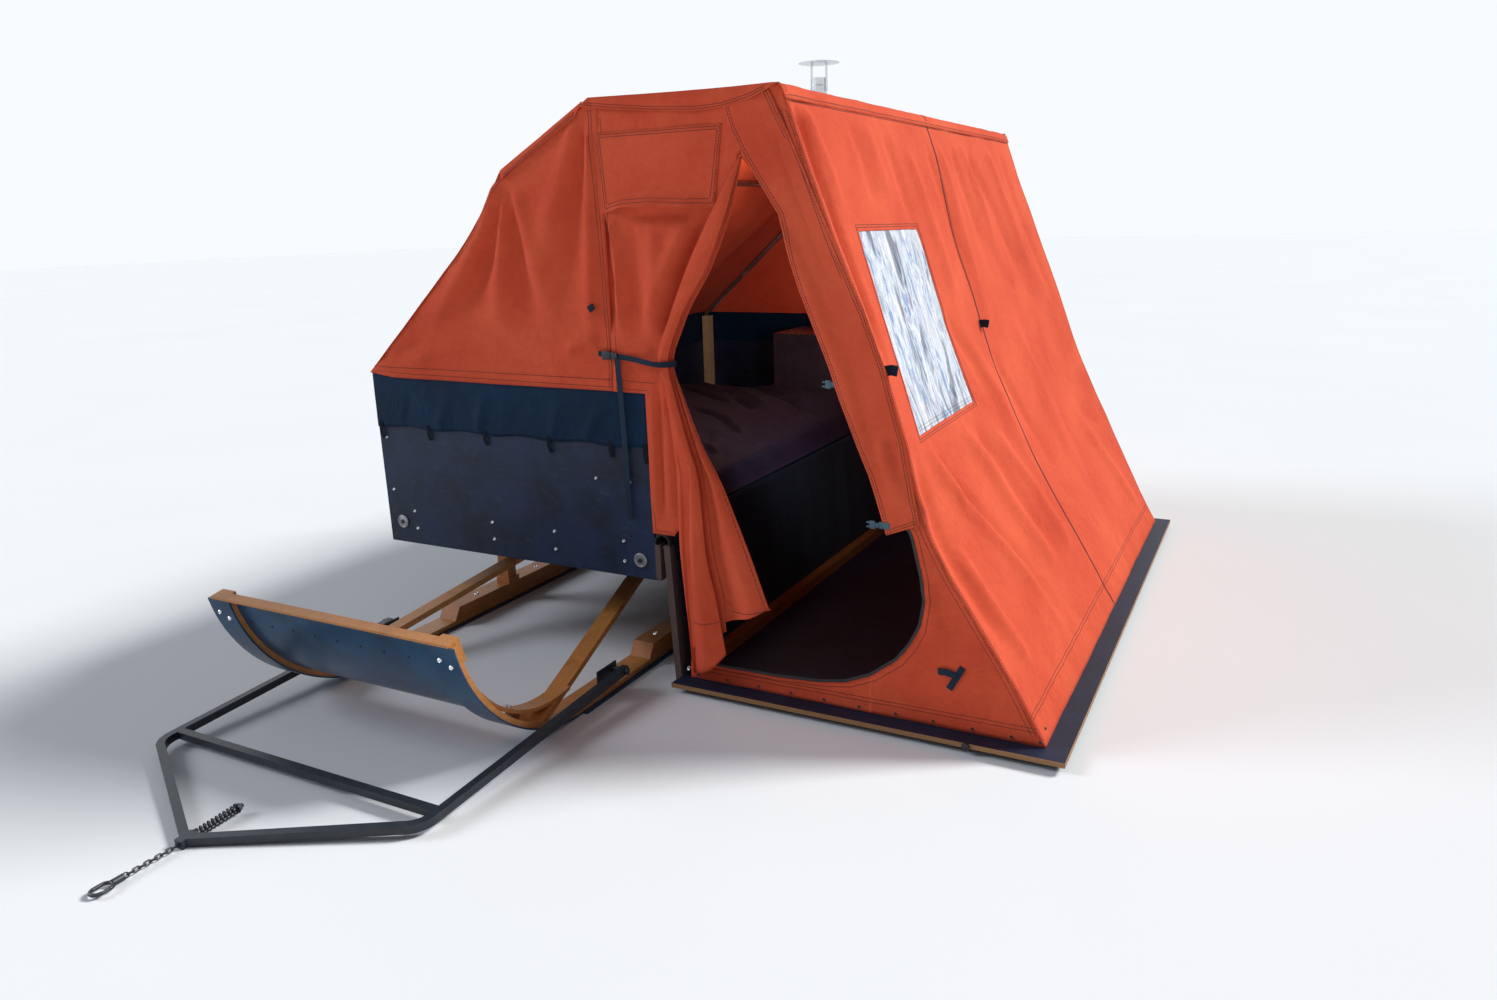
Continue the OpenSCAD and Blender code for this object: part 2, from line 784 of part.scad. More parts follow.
// A shallow dish on two flat straps that stand on the rim of the pipe
module pipe_cap() {
    color("silver") place() translate([pipe_x, pipe_y, 0]) {
        translate([0, 0, cap_z]) rotate_extrude($fn = 64)
            polygon([[0, 0], [cap_d / 2, 12], [cap_d / 2, 14], [0, 2.5]]);
        for (s = [-1, 1]) translate([s * pipe_d / 2, 0, 0])
            block(s > 0 ? [0, 2] : [-2, 0], [-12, 12], [pipe_top - 60, cap_z + 6.5]);
    }
}

frame_in = canvas_t + frame_gap + tube_r;
bow_line = inner(frame_in);
bow_y = [frame_gap + tube_r, hut_len - frame_gap - tube_r];

module tube(a, b, y) {
    d = b - a;
    translate([a[0], y, a[1]]) rotate([0, atan2(d[0], d[1]), 0])
        cylinder(d = tube_d, h = norm(d), $fn = 32);
}

// The part of its children on one side of the mitre at the elbow
module mitred(keep) {
    p = bow_line;
    m = unit(p[1] - p[0]) + unit(p[2] - p[1]);
    intersection() {
        children();
        translate([p[1][0], 0, p[1][1]]) rotate([0, atan2(m[0], m[1]), 0])
            translate([-far, -far, keep > 0 ? 0 : -far]) cube([2 * far, 2 * far, far]);
    }
}

module bow(y) {
    p = bow_line;
    low_left = p[0] + unit(p[0] - p[1]) * 2 * tube_d;
    low_right = p[5] + unit(p[5] - p[4]) * knee_z;
    intersection() {
        union() {
            mitred(-1) tube(low_left, p[1] + unit(p[1] - p[0]) * tube_d, y);
            mitred(1) tube(p[1] - unit(p[2] - p[1]) * tube_d, p[2], y);
            tube(p[2], p[3], y);
            tube(p[3], p[4], y);
            tube(p[4], low_right, y);
            for (i = [2:4]) translate([p[i][0], y, p[i][1]]) rotate([90, 0, 0])
                translate([0, 0, -tube_r]) cylinder(d = tube_d, h = tube_d, $fn = 32);
        }
        union() {
            translate([-box_w + ply_t, -far, post_top]) cube([box_w - ply_t, 2 * far, far]);
            translate([0, -far, floor_z]) cube([far, 2 * far, far]);
        }
    }
}

module frame_bows() {
    color("lightgray") place() for (y = bow_y) bow(y);
}

module long_tubes() {
    color("lightgray") place() for (i = [2:4])
        translate([bow_line[i][0], tube_d + frame_gap, bow_line[i][1]]) rotate([-90, 0, 0])
            cylinder(d = tube_d, h = hut_len - 2 * tube_d - 2 * frame_gap, $fn = 32);
}

canvas_in = inner(canvas_t);

module front_cloth() {
    color("orangered") place() across(-canvas_t, 0) children();
}

module canvas_front_left() {
    front_cloth() polygon([eave, elbow, shoulder, ridge_l, [seam_x, skirt_top]]);
}

// Height of the lower edge of the cloth beside the door
strip_hem = strip_top + 4;

module canvas_front_middle() {
    front_cloth() polygon([ridge_l, door_split, [door_top_x, door_top_z], [door_left, tie_z],
                           [door_left, strip_hem], [0, strip_hem], [0, skirt_top],
                           [seam_x, skirt_top]]);
}

// Distance of the cloth under the door from the riser board
sill_gap = 40;

module canvas_front_right() {
    front_cloth() difference() {
        polygon([door_split, ridge_r, knee, slope_foot, [riser_side + sill_gap, floor_z],
                 [riser_side + sill_gap, door_sill], [door_top_x, door_top_z]]);
        polygon(door_line);
    }
}

flap_t = 42;

// Edges of the opened door, as shares of the door's width and of the tie's height
door_free = [[0.392, 1.493], [0.318, 1.325], [0.192, 1.148], [0.128, 1], [0.159, 0.9],
             [0.222, 0.766], [0.313, 0.632], [0.38, 0.47], [0.466, 0.304], [0.285, 0.237],
             [0.302, 0.147], [0.279, 0.115], [0.156, 0.06]];
door_inner = [[0.142, 0.07], [0.134, 0.22], [0.112, 0.37], [0.111, 0.5], [0.108, 0.66],
              [0.085, 0.85], [0.06, 1], [0.159, 1.202], [0.3, 1.415]];
function folds(p) = [for (q = p) [q[0] * door_right_x, q[1] * tie_z]];

// The opened door, gathered at the tie and falling in folds beside the riser
module door_flap() {
    color("orangered") place() across(-canvas_t - soft_gap - flap_t, -canvas_t - soft_gap)
        polygon(concat([[door_top_x, door_top_z]], folds(door_free), folds(door_inner)));
}

flap_y = -canvas_t - soft_gap - 2;
vent_drop = 96;
vent_top = ridge_z - vent_drop;
vent_h = 228;
vent_w = 441;
vent_taper = 12;
vent_right = door_top_x - 56;

module thin_flap() {
    color("orangered") place() across(flap_y, -canvas_t - soft_gap) children();
}

// Height of the storm flap's upper outer corner, and its overlap on the door at the foot
storm_top = ridge_z - 160;
storm_lap = 78;

module storm_flap() {
    upper = ridge_z - 38;
    thin_flap() polygon([[door_top_x - 44, upper - 18], [door_top_x + 66, upper],
                         level(ridge_r, knee, storm_inset, storm_top),
                         level(ridge_r, knee, storm_inset, knee_z + 20),
                         [knee[0] - storm_inset, knee_z - 36],
                         [door_side_x - storm_lap, door_side_z - 15],
                         door_line[4], door_line[2], door_line[1]]);
}

module vent_flap() {
    thin_flap() polygon([[vent_right - vent_w, vent_top], [vent_right, vent_top],
                         [vent_right - 3 * vent_taper, vent_top - vent_h],
                         [vent_right - vent_w + vent_taper, vent_top - vent_h]]);
}

module canvas_rear() {
    color("orangered") place() across(hut_len, hut_len + canvas_t)
        polygon(concat(roof, [[riser_side, floor_z], [riser_top_x + riser_t, strip_top],
                              [0, strip_top], [0, skirt_top]]));
}

module canvas_left() {
    q = canvas_in;
    color("orangered") place() difference() {
        across(0, hut_len) polygon([eave, elbow, shoulder, ridge_l, q[3], q[2], q[1], q[0]]);
        translate([pipe_x, pipe_y, skirt_top]) cylinder(d = pipe_d + 1, h = far, $fn = 64);
    }
}

module canvas_top() {
    color("orangered") place() across(0, hut_len)
        polygon([ridge_l, ridge_r, canvas_in[4], canvas_in[3]]);
}

slope_vec = knee - ridge_r;
slope_lean = atan2(slope_vec[0], -slope_vec[1]);

module window_block() {
    translate([ridge_r[0], 0, ridge_r[1]]) rotate([0, -slope_lean, 0])
        translate([-4 * canvas_t, window_y, -window_s - window_h])
        cube([8 * canvas_t, window_w, window_h]);
}

module slope_sheet() {
    q = canvas_in;
    across(0, hut_len) polygon([ridge_r, knee, slope_foot, q[6], q[5], q[4]]);
}

module canvas_right_slope() {
    color("tomato") place() difference() {
        slope_sheet();
        window_block();
    }
}

module side_window() {
    color("lightblue", 0.6) place() intersection() {
        slope_sheet();
        window_block();
    }
}

module skirt() {
    color("midnightblue") place() translate([0, 0, skirt_top - skirt_h]) linear_extrude(skirt_h)
        polygon([[0, 0], [0, -canvas_t], [left_x, -canvas_t], [left_x, hut_len + canvas_t],
                 [0, hut_len + canvas_t], [0, hut_len], [-box_w, hut_len], [-box_w, 0]]);
}

left_runner();
right_runner();
left_sole();
right_sole();
runner_timbers();
nose_crossbar();
nose_plate();
nose_stays();
sled_posts();
cross_beams();
tow_brackets();
tow_side_bars();
tow_cross_tube();
tow_nose_plate();
hitch_rod();
hitch_spring();
tow_chain();
snap_hook();
box_floor();
front_wall();
rear_wall();
left_wall();
right_low_wall();
corner_posts();
hinge_strip();
riser_board();
floor_panel();
floor_battens();
stop_batten_bar();
bed_board();
mattress();
stove_cabinet();
cabinet_top();
stove_pipe();
pipe_cap();
frame_bows();
long_tubes();
canvas_front_left();
canvas_front_middle();
canvas_front_right();
door_flap();
storm_flap();
vent_flap();
canvas_rear();
canvas_left();
canvas_top();
canvas_right_slope();
side_window();
skirt();
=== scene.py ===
"""Looks of a folding ice fishing hut on a sled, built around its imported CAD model.

Places are given in millimetres from the box's open side (x), its front (y) and the
ground (z), as in the CAD source, and hut_point() turns them into the row's metres.
"""

import logging
import math
from collections.abc import Callable, Iterable, Sequence
from dataclasses import dataclass, field
from enum import Enum

import bmesh
import bpy
import numpy as np
from mathutils import Matrix, Vector, noise


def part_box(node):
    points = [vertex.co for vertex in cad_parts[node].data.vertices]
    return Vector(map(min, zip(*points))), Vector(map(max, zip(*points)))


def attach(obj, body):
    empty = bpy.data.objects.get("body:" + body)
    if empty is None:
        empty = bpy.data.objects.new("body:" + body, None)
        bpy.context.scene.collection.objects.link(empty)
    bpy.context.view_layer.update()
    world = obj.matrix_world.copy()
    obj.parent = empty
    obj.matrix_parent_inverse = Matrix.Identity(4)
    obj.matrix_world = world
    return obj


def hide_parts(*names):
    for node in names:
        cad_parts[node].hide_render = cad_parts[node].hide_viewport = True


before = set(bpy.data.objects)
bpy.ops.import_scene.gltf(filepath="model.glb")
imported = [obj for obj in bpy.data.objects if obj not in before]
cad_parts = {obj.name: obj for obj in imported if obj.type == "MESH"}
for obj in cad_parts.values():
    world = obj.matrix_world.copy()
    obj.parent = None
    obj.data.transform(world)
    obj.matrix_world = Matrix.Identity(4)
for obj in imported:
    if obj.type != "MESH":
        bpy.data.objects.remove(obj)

LOG = logging.getLogger("ice_hut")
HUT = "hut"

MM = 0.001
MID_X = 80.0
MID_Y = 468.7
BOX_W = 1210.0
HUT_LEN = 2500.0
SLED_X = -BOX_W / 2
RIDGE_LEFT, RIDGE_RIGHT = Vector((-162.0, 1894.0)), Vector((496.0, 1894.0))
SLOPE_FOOT = Vector((1307.0, 35.0))
SHEET_T = 1.2
STITCH = (0.72, 1.5, 0.9)
PITCH = 9.0
TAPE_STEP = 14.0
STUD_W = 10.0
STITCH_LIFT = 0.4
TAPE_LIFT = 0.2
CLOTH_OUT = 3.0
SKIRT_TOP = 1065.0
RIM_LINE = 0.0012
FRONT, REAR, LEFT, UP = (0, -1, 0), (0, 1, 0), (-1, 0, 0), (0, 0, 1)

Point2 = tuple[float, float]
Point3 = tuple[float, float, float]


def hut_point(x: float, y: float, z: float) -> Vector:
    """Returns a place in hut millimetres as a point of the row's frame, in metres."""
    return Vector(((x - MID_X) * MM, (y - MID_Y) * MM, z * MM))


def srgb(red: float, green: float, blue: float) -> tuple[float, float, float, float]:
    """Returns a colour of 0 to 255 as linear values with alpha.

    Args:
        red: Its red.
        green: Its green.
        blue: Its blue.

    Returns:
        The four values.
    """

    def line(value: float) -> float:
        """Returns one channel as a linear value."""
        value /= 255
        return value / 12.92 if value <= 0.04045 else ((value + 0.055) / 1.055) ** 2.4

    return (line(red), line(green), line(blue), 1)


# ---------------------------------------------------------------- finishes


class Look(Enum):
    """The families of surface that the hut shows."""

    CLOTH = "cloth"
    WOOD = "wood"
    FILM_PLY = "film_ply"
    PLASTIC = "plastic"
    METAL = "metal"
    FILM = "film"
    THREAD = "thread"
    FLOOR = "floor"


class Grain(Enum):
    """The directions that grain or brushing follows."""

    ALONG = "Y"
    UP = "Z"


@dataclass(frozen=True)
class Finish:
    """One surface of the hut.

    Attributes:
        name: The material's name.
        look: The family that it is made in.
        base: Its main colour, 0 to 255.
        second: The colour that it varies towards.
        rough: Its roughness.
        scale: Size of its pattern, in patterns a metre.
        depth: Height of its bump, in metres.
        grain: The direction that grain or brushing follows.
        slot: The record's material slot, where it isn't the finish's own name; not used.
        rim: The node whose outer edges show bare plies, where one does.
    """

    name: str
    look: Look
    base: Point3
    second: Point3
    rough: float
    scale: float = 1.0
    depth: float = 0.0005
    grain: Grain = Grain.ALONG
    slot: str = ""
    rim: str = ""


CANVAS = Finish("canvas", Look.CLOTH, (224, 95, 64), (204, 75, 49), 0.85, 330, 0.0002)
SKIRT = Finish("skirt_cloth", Look.CLOTH, (7, 44, 74), (3, 26, 47), 0.55, 420, 0.00012)
COVER = Finish("mattress_cover", Look.CLOTH, (46, 39, 58), (30, 25, 42), 0.55, 500, 0.0001)
LINER = Finish("liner_cloth", Look.CLOTH, (14, 24, 36), (8, 14, 24), 0.7, 420, 0.00012,
               slot="skirt_cloth")
WEBBING = Finish("webbing", Look.CLOTH, (38, 54, 72), (24, 36, 52), 0.7, 700, 0.0003,
                 slot="skirt_cloth")
THREAD = Finish("thread", Look.THREAD, (70, 28, 32), (50, 24, 30), 0.8, slot="skirt_cloth")
PALE_WOOD = Finish("pale_wood", Look.WOOD, (208, 142, 76), (158, 98, 48), 0.42, 9, 0.0004)
BROWN_WOOD = Finish("brown_wood", Look.WOOD, (192, 122, 58), (136, 78, 32), 0.5, 8)
BATTEN = Finish("batten_wood", Look.WOOD, (150, 98, 42), (92, 54, 22), 0.45, 10)
BARE_WOOD = Finish("bare_wood", Look.WOOD, (228, 208, 162), (176, 146, 102), 0.7, 8,
                   grain=Grain.UP)
BROWN_BOARD = Finish("brown_board", Look.WOOD, (92, 70, 66), (56, 42, 42), 0.7, 7, 0.0006)
FILM_PLY = Finish("film_plywood", Look.FILM_PLY, (33, 46, 74), (24, 28, 42), 0.42, 5, 0.0002)
FLOOR_PLY = Finish("floor_plywood", Look.FILM_PLY, (20, 31, 54), (12, 19, 36), 0.5, 5, 0.0004,
                   rim="floor_panel")
CABINET = Finish("cabinet_board", Look.FILM_PLY, (66, 56, 66), (44, 38, 48), 0.4, 4, 0.0002)
BLUE_PLASTIC = Finish("blue_plastic", Look.PLASTIC, (14, 70, 106), (8, 46, 74), 0.3, 6, 0.0003)
RUBBER = Finish("hinge_rubber", Look.PLASTIC, (24, 26, 30), (14, 15, 18), 0.6, 12, 0.0004)
FITTING = Finish("black_fitting", Look.PLASTIC, (32, 38, 48), (20, 24, 30), 0.45, 20, 0.0002,
                 slot="black_steel")
CLIP = Finish("teal_fitting", Look.PLASTIC, (58, 94, 108), (42, 72, 84), 0.4, 20, 0.0002,
              slot="black_steel")
BLACK_STEEL = Finish("black_steel", Look.PLASTIC, (30, 38, 48), (18, 23, 30), 0.42, 40, 0.0002)
PLAIN_STEEL = Finish("plain_steel", Look.METAL, (150, 152, 156), (104, 104, 106), 0.38, 60,
                     0.0001, slot="bright_metal")
BRIGHT = Finish("bright_metal", Look.METAL, (218, 222, 226), (180, 184, 190), 0.24, 30, 0.0002,
                Grain.UP)
TUBE = Finish("grey_tube", Look.METAL, (196, 200, 206), (160, 164, 170), 0.36, 50, 0.0001)
# The window film's white and pale blue colours are painted sky reflection, not the film's own
# colour.
WINDOW = Finish("window_film", Look.FILM, (246, 250, 255), (122, 158, 206), 0.07, 14, 0.004)
STUDIO = Finish("studio_floor", Look.FLOOR, (236, 239, 243), (230, 234, 239), 0.9)


class Tree:
    """A short way to place shader nodes and join them.

    Args:
        tree: The node tree that the nodes go into.
    """

    def __init__(self, tree: bpy.types.NodeTree) -> None:
        """Keeps the tree."""
        self.tree = tree

    def put(self, value: object, socket: bpy.types.NodeSocket) -> None:
        """Joins a socket to an input, or sets the input to a value."""
        if isinstance(value, bpy.types.NodeSocket):
            self.tree.links.new(value, socket)
        else:
            socket.default_value = value

    def add(self, kind: str, inputs: dict | None = None, **settings: object) -> bpy.types.Node:
        """Places a node.

        Args:
            kind: The node's type, without the words ShaderNode.
            inputs: Values or sockets for its inputs, by name or place.
            **settings: Values for its other properties.

        Returns:
            The node.
        """
        node = self.tree.nodes.new("ShaderNode" + kind)
        for name, value in settings.items():
            setattr(node, name, value)
        for name, value in (inputs or {}).items():
            self.put(value, node.inputs[name])
        return node

    def math(self, operation: str, *values: object) -> bpy.types.NodeSocket:
        """Returns the result of a sum on values or sockets."""
        return self.add("Math", dict(enumerate(values)), operation=operation).outputs[0]

    def noise(self, spot: object, scale: object, detail: float, rough: float = 0.5,
              bend: float = 0.0) -> bpy.types.NodeSocket:
        """Returns noise at a place's coordinates."""
        return self.add("TexNoise", {"Vector": spot, "Scale": scale, "Detail": detail,
                                     "Roughness": rough, "Distortion": bend}).outputs["Fac"]

    def mapped(self, spot: object, **inputs: Point3) -> bpy.types.NodeSocket:
        """Returns coordinates turned by Rotation and stretched by Scale."""
        return self.add("Mapping", {"Vector": spot, **inputs}).outputs["Vector"]

    def ramp(self, value: bpy.types.NodeSocket, *stops: Point2) -> bpy.types.NodeSocket:
        """Returns a value shaped by a ramp.

        Args:
            value: The value from 0 to 1.
            *stops: Pairs of place and grey level.

        Returns:
            The ramp's output.
        """
        node = self.add("ValToRGB", {"Fac": value})
        elements = node.color_ramp.elements
        while len(elements) < len(stops):
            elements.new(0.5)
        for element, (place, level) in zip(elements, stops):
            element.position = place
            element.color = (level, level, level, 1)
        return node.outputs["Color"]

    def mix(self, share: object, first: object, second: object) -> bpy.types.NodeSocket:
        """Returns two colours mixed by a share."""
        node = self.add("Mix", data_type="RGBA")
        for name, value in (("Factor", share), (6, first), (7, second)):
            self.put(value, node.inputs[name])
        return node.outputs[2]

    def group(self, made: bpy.types.ShaderNodeTree, spot: object, scale: float) -> dict:
        """Returns the outputs, by name, of a shared group at a place's coordinates."""
        node = self.add("Group", node_tree=made)
        self.put(spot, node.inputs["Vector"])
        self.put(scale, node.inputs["Scale"])
        return {out.name: out for out in node.outputs}


class GroupBook:
    """The shader node groups that several materials share, each built once.

    A group's method takes its tree, its coordinates and its scale, and returns its outputs.
    """

    def __init__(self) -> None:
        """Starts with no groups."""
        self.made: dict[str, bpy.types.ShaderNodeTree] = {}

    def get(self, name: str) -> bpy.types.ShaderNodeTree:
        """Returns a group by its maker's name, built at the first call.

        Args:
            name: The name of the method that makes it.

        Returns:
            The group.
        """
        if name not in self.made:
            group = bpy.data.node_groups.new(name, "ShaderNodeTree")
            for key, kind in (("Vector", "Vector"), ("Scale", "Float")):
                group.interface.new_socket(key, in_out="INPUT", socket_type="NodeSocket" + kind)
            source = group.nodes.new("NodeGroupInput").outputs
            made = getattr(self, name)(Tree(group), source["Vector"], source["Scale"])
            for key in made:
                group.interface.new_socket(key, in_out="OUTPUT", socket_type="NodeSocketFloat")
            out = group.nodes.new("NodeGroupOutput")
            for key, value in made.items():
                group.links.new(value, out.inputs[key])
            self.made[name] = group
        return self.made[name]

    def weave(self, tree: Tree, spot: object, scale: object) -> dict:
        """Returns the plain weave of cloth: crossing threads and their slubs."""
        waves = [tree.add("TexWave", {"Vector": spot, "Scale": scale, "Distortion": 0.6,
                                      "Detail": 1}, bands_direction=way).outputs["Fac"]
                 for way in ("X", "Y")]
        return {"Height": tree.math("MULTIPLY", tree.math("ADD", *waves), 0.5),
                "Tone": tree.noise(spot, 42, 6, 0.7)}

    def grain(self, tree: Tree, spot: object, scale: object) -> dict:
        """Returns wood grain: long fibres and growth rings."""
        scaled = tree.add("VectorMath", {0: spot, "Scale": scale}, operation="SCALE").outputs[0]
        rings = tree.noise(tree.mapped(scaled, Scale=(3.2, 0.22, 3.2)), 1.6, 3, 0.5, 1.2)
        bands = tree.math("FRACT", tree.math("MULTIPLY", rings, 9))
        return {"Figure": tree.ramp(bands, (0, 0.15), (0.55, 0.75), (0.93, 1), (1, 0.15)),
                "Fibre": tree.noise(tree.mapped(scaled, Scale=(26, 0.6, 26)), 2, 5, 0.65)}

    def wear(self, tree: Tree, spot: object, scale: object) -> dict:
        """Returns wear: broad stains, and fine scuffs and scratches."""
        drawn = tree.mapped(spot, Rotation=(0.3, 0.4, 0.7), Scale=(2, 18, 6))
        return {"Stain": tree.noise(spot, scale, 5, 0.6, 0.4),
                "Scuff": tree.ramp(tree.noise(drawn, 9, 8, 0.75, 0.2), (0.56, 0), (0.72, 1))}


class Paintbox:
    """Makes the hut's materials, each one once.

    A look's method takes the material's tree, the coordinates and the finish, and returns
    values or sockets for the shader's inputs, by name.
    """

    def __init__(self) -> None:
        """Starts with empty groups and no materials."""
        self.groups = GroupBook()
        self.made: dict[tuple[str, bool], bpy.types.Material] = {}

    def material(self, finish: Finish, by_uv: bool = False) -> bpy.types.Material:
        """Returns the material of a finish.

        Args:
            finish: The finish.
            by_uv: Whether its pattern follows the piece's own UV map.

        Returns:
            The material, made at the first call.
        """
        key = (finish.name, by_uv)
        if key not in self.made:
            material = bpy.data.materials.new(finish.name + ("_cut" if by_uv else ""))
            material.use_nodes = True
            tree = Tree(material.node_tree)
            sockets = material.node_tree.nodes["Principled BSDF"].inputs
            sockets["Roughness"].default_value = finish.rough
            spot = tree.add("TexCoord").outputs["UV" if by_uv else "Object"]
            for name, value in getattr(self, finish.look.value)(tree, spot, finish).items():
                tree.put(value, sockets[name])
            self.made[key] = material
        return self.made[key]

    def worn(self, tree: Tree, spot: object, finish: Finish, scale: float, low: float,
             high: float) -> tuple[bpy.types.NodeSocket, dict]:
        """Returns a finish's two colours mixed by broad stains, and the wear itself.

        Args:
            tree: The material's tree.
            spot: The coordinates.
            finish: The finish.
            scale: The scale of the wear.
            low: The stain at which the second colour starts.
            high: The stain at which it is full.

        Returns:
            The colour, and the wear's outputs by name.
        """
        wear = tree.group(self.groups.get("wear"), spot, scale)
        stain = tree.ramp(wear["Stain"], (low, 0), (high, 1))
        return tree.mix(stain, srgb(*finish.base), srgb(*finish.second)), wear

    def bump(self, tree: Tree, height: object, distance: float,
             under: object | None = None) -> bpy.types.NodeSocket:
        """Returns the normal of a height, on top of the normal under it."""
        under = {} if under is None else {"Normal": under}
        return tree.add("Bump", {"Height": height, "Distance": distance, "Strength": 1,
                                 **under}).outputs["Normal"]

    def cloth(self, tree: Tree, spot: object, finish: Finish) -> dict:
        """Dresses woven cloth, with slubs, small creases and worn tones."""
        weave = tree.group(self.groups.get("weave"), spot, finish.scale)
        wear = tree.group(self.groups.get("wear"), spot, 2.2)
        tone = tree.math("MULTIPLY_ADD", wear["Stain"], 0.75,
                         tree.math("MULTIPLY", weave["Tone"], 0.25))
        low = self.bump(tree, tree.noise(spot, 16, 5, 0.6, 0.8), 0.004)
        return {"Base Color": tree.mix(tree.ramp(tone, (0.36, 0), (0.62, 1)),
                                       srgb(*finish.second), srgb(*finish.base)),
                "Normal": self.bump(tree, weave["Height"], finish.depth, low),
                "Sheen Weight": 0.03, "Sheen Roughness": 0.5, "Specular IOR Level": 0.1}

    def wood(self, tree: Tree, spot: object, finish: Finish) -> dict:
        """Dresses oiled wood, with its figure, fibres and stains."""
        lean = math.pi / 2 if finish.grain is Grain.UP else 0
        lie = tree.mapped(spot, Rotation=(lean, 0, 0))
        grain = tree.group(self.groups.get("grain"), lie, finish.scale)
        wear = tree.group(self.groups.get("wear"), spot, 6)
        tone = tree.math("MULTIPLY_ADD", grain["Figure"], 0.55,
                         tree.math("MULTIPLY", grain["Fibre"], 0.5))
        colour = tree.mix(tone, srgb(*finish.second), srgb(*finish.base))
        dark = tuple(0.55 * c for c in srgb(*finish.second)[:3]) + (1,)
        stain = tree.ramp(wear["Stain"], (0.52, 0), (0.78, 0.6))
        return {"Base Color": tree.mix(stain, colour, dark),
                "Roughness": tree.math("MULTIPLY_ADD", wear["Scuff"], 0.25, finish.rough),
                "Normal": self.bump(tree, grain["Fibre"], finish.depth)}

    def film_ply(self, tree: Tree, spot: object, finish: Finish) -> dict:
        """Dresses film-faced board: a smooth dark face, and bare plies along its rim."""
        face, wear = self.worn(tree, spot, finish, finish.scale, 0.4, 0.66)
        fine = tree.noise(spot, 60, 6, 0.7)
        colour = tree.mix(tree.math("MULTIPLY", wear["Scuff"], 0.18), face, srgb(120, 116, 122))
        if finish.rim:
            colour = tree.mix(self.rim(tree, spot, finish.rim), colour, self.plies(tree, spot))
        return {"Base Color": colour, "Specular IOR Level": 0.25,
                "Roughness": tree.math("MULTIPLY_ADD", fine, 0.22, finish.rough - 0.08),
                "Normal": self.bump(tree, fine, finish.depth)}

    def rim(self, tree: Tree, spot: object, node: str) -> bpy.types.NodeSocket:
        """Returns a mask of a flat node's outer edges, from its box at rest.

        Args:
            tree: The material's tree.
            spot: The coordinates.
            node: The node's name.

        Returns:
            The mask, 1 on the edges.
        """
        low, high = (Vector(p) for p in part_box(node))
        off = tree.add("VectorMath", {0: spot, 1: (low + high) / 2}, operation="SUBTRACT")
        far = tree.add("VectorMath", {0: off.outputs[0]}, operation="ABSOLUTE")
        sides = tree.add("SeparateXYZ", {0: far.outputs[0]}).outputs
        half = (high - low) / 2
        return tree.math("MAXIMUM", *(tree.math("GREATER_THAN", sides[i], half[i] - RIM_LINE)
                                      for i in range(2)))

    def plies(self, tree: Tree, spot: object) -> bpy.types.NodeSocket:
        """Returns the colours of bare plies, light and dark in turn up the board."""
        height = tree.add("SeparateXYZ", {0: spot}).outputs[2]
        layer = tree.math("FRACT", tree.math("MULTIPLY", height, 380))
        share = tree.ramp(layer, (0.4, 0), (0.5, 1))
        return tree.mix(share, srgb(172, 132, 92), srgb(126, 90, 58))

    def plastic(self, tree: Tree, spot: object, finish: Finish) -> dict:
        """Dresses moulded or sheet plastic and coated steel, scuffed by use."""
        colour, wear = self.worn(tree, spot, finish, finish.scale, 0.38, 0.66)
        pale = tuple(min(1, 2.2 * c + 0.04) for c in srgb(*finish.base)[:3]) + (1,)
        return {"Base Color": tree.mix(tree.math("MULTIPLY", wear["Scuff"], 0.3), colour, pale),
                "Roughness": tree.math("MULTIPLY_ADD", wear["Scuff"], 0.25, finish.rough),
                "Normal": self.bump(tree, wear["Stain"], finish.depth * 4)}

    def metal(self, tree: Tree, spot: object, finish: Finish) -> dict:
        """Dresses bare metal, brushed along its length and a little stained."""
        stretch = tuple(1 if axis == finish.grain.value else 40 for axis in "XYZ")
        brush = tree.noise(tree.mapped(spot, Scale=stretch), 14, 4, 0.6)
        colour, _ = self.worn(tree, spot, finish, finish.scale / 6, 0.4, 0.7)
        return {"Base Color": colour, "Metallic": 1,
                "Roughness": tree.math("MULTIPLY_ADD", brush, 0.2, finish.rough - 0.08),
                "Normal": self.bump(tree, brush, finish.depth)}

    def film(self, tree: Tree, spot: object, finish: Finish) -> dict:
        """Dresses clear window film, crinkled, with painted reflection: white and pale blue
        streaks and dark blue patches of mirrored sky are painted into its colour, over its real
        glossy coat.
        """
        drawn = tree.mapped(spot, Rotation=(0, 0, 0.16), Scale=(3.4, 0.7, 1))
        big, small = (tree.noise(drawn, size, 4, 0.55, bend)
                      for size, bend in ((3.2, 1.2), (8, 1.6)))
        # Painted reflection: the large noise paints dark blue patches, and the small noise paints
        # white and pale blue sky streaks.
        dark = tree.ramp(big, (0.36, 0), (0.44, 1))
        painted_sky_streak = tree.ramp(small, (0.4, 0), (0.47, 1), (0.52, 0.35), (0.6, 1))
        colour = tree.mix(painted_sky_streak, srgb(*finish.second), srgb(*finish.base))
        low = self.bump(tree, big, finish.depth * 3)
        # The painted dark blue reflection patches go over the painted sky streaks.
        return {"Base Color": tree.mix(dark, srgb(58, 80, 116), colour),
                "Normal": self.bump(tree, small, finish.depth, low),
                "Transmission Weight": 0.15, "Coat Weight": 0.6, "Coat Roughness": 0.05,
                "Specular IOR Level": 0.8}

    def thread(self, tree: Tree, spot: object, finish: Finish) -> dict:
        """Dresses sewing thread, darker in places."""
        tone = tree.noise(spot, 200, 2)
        return {"Base Color": tree.mix(tone, srgb(*finish.base), srgb(*finish.second))}

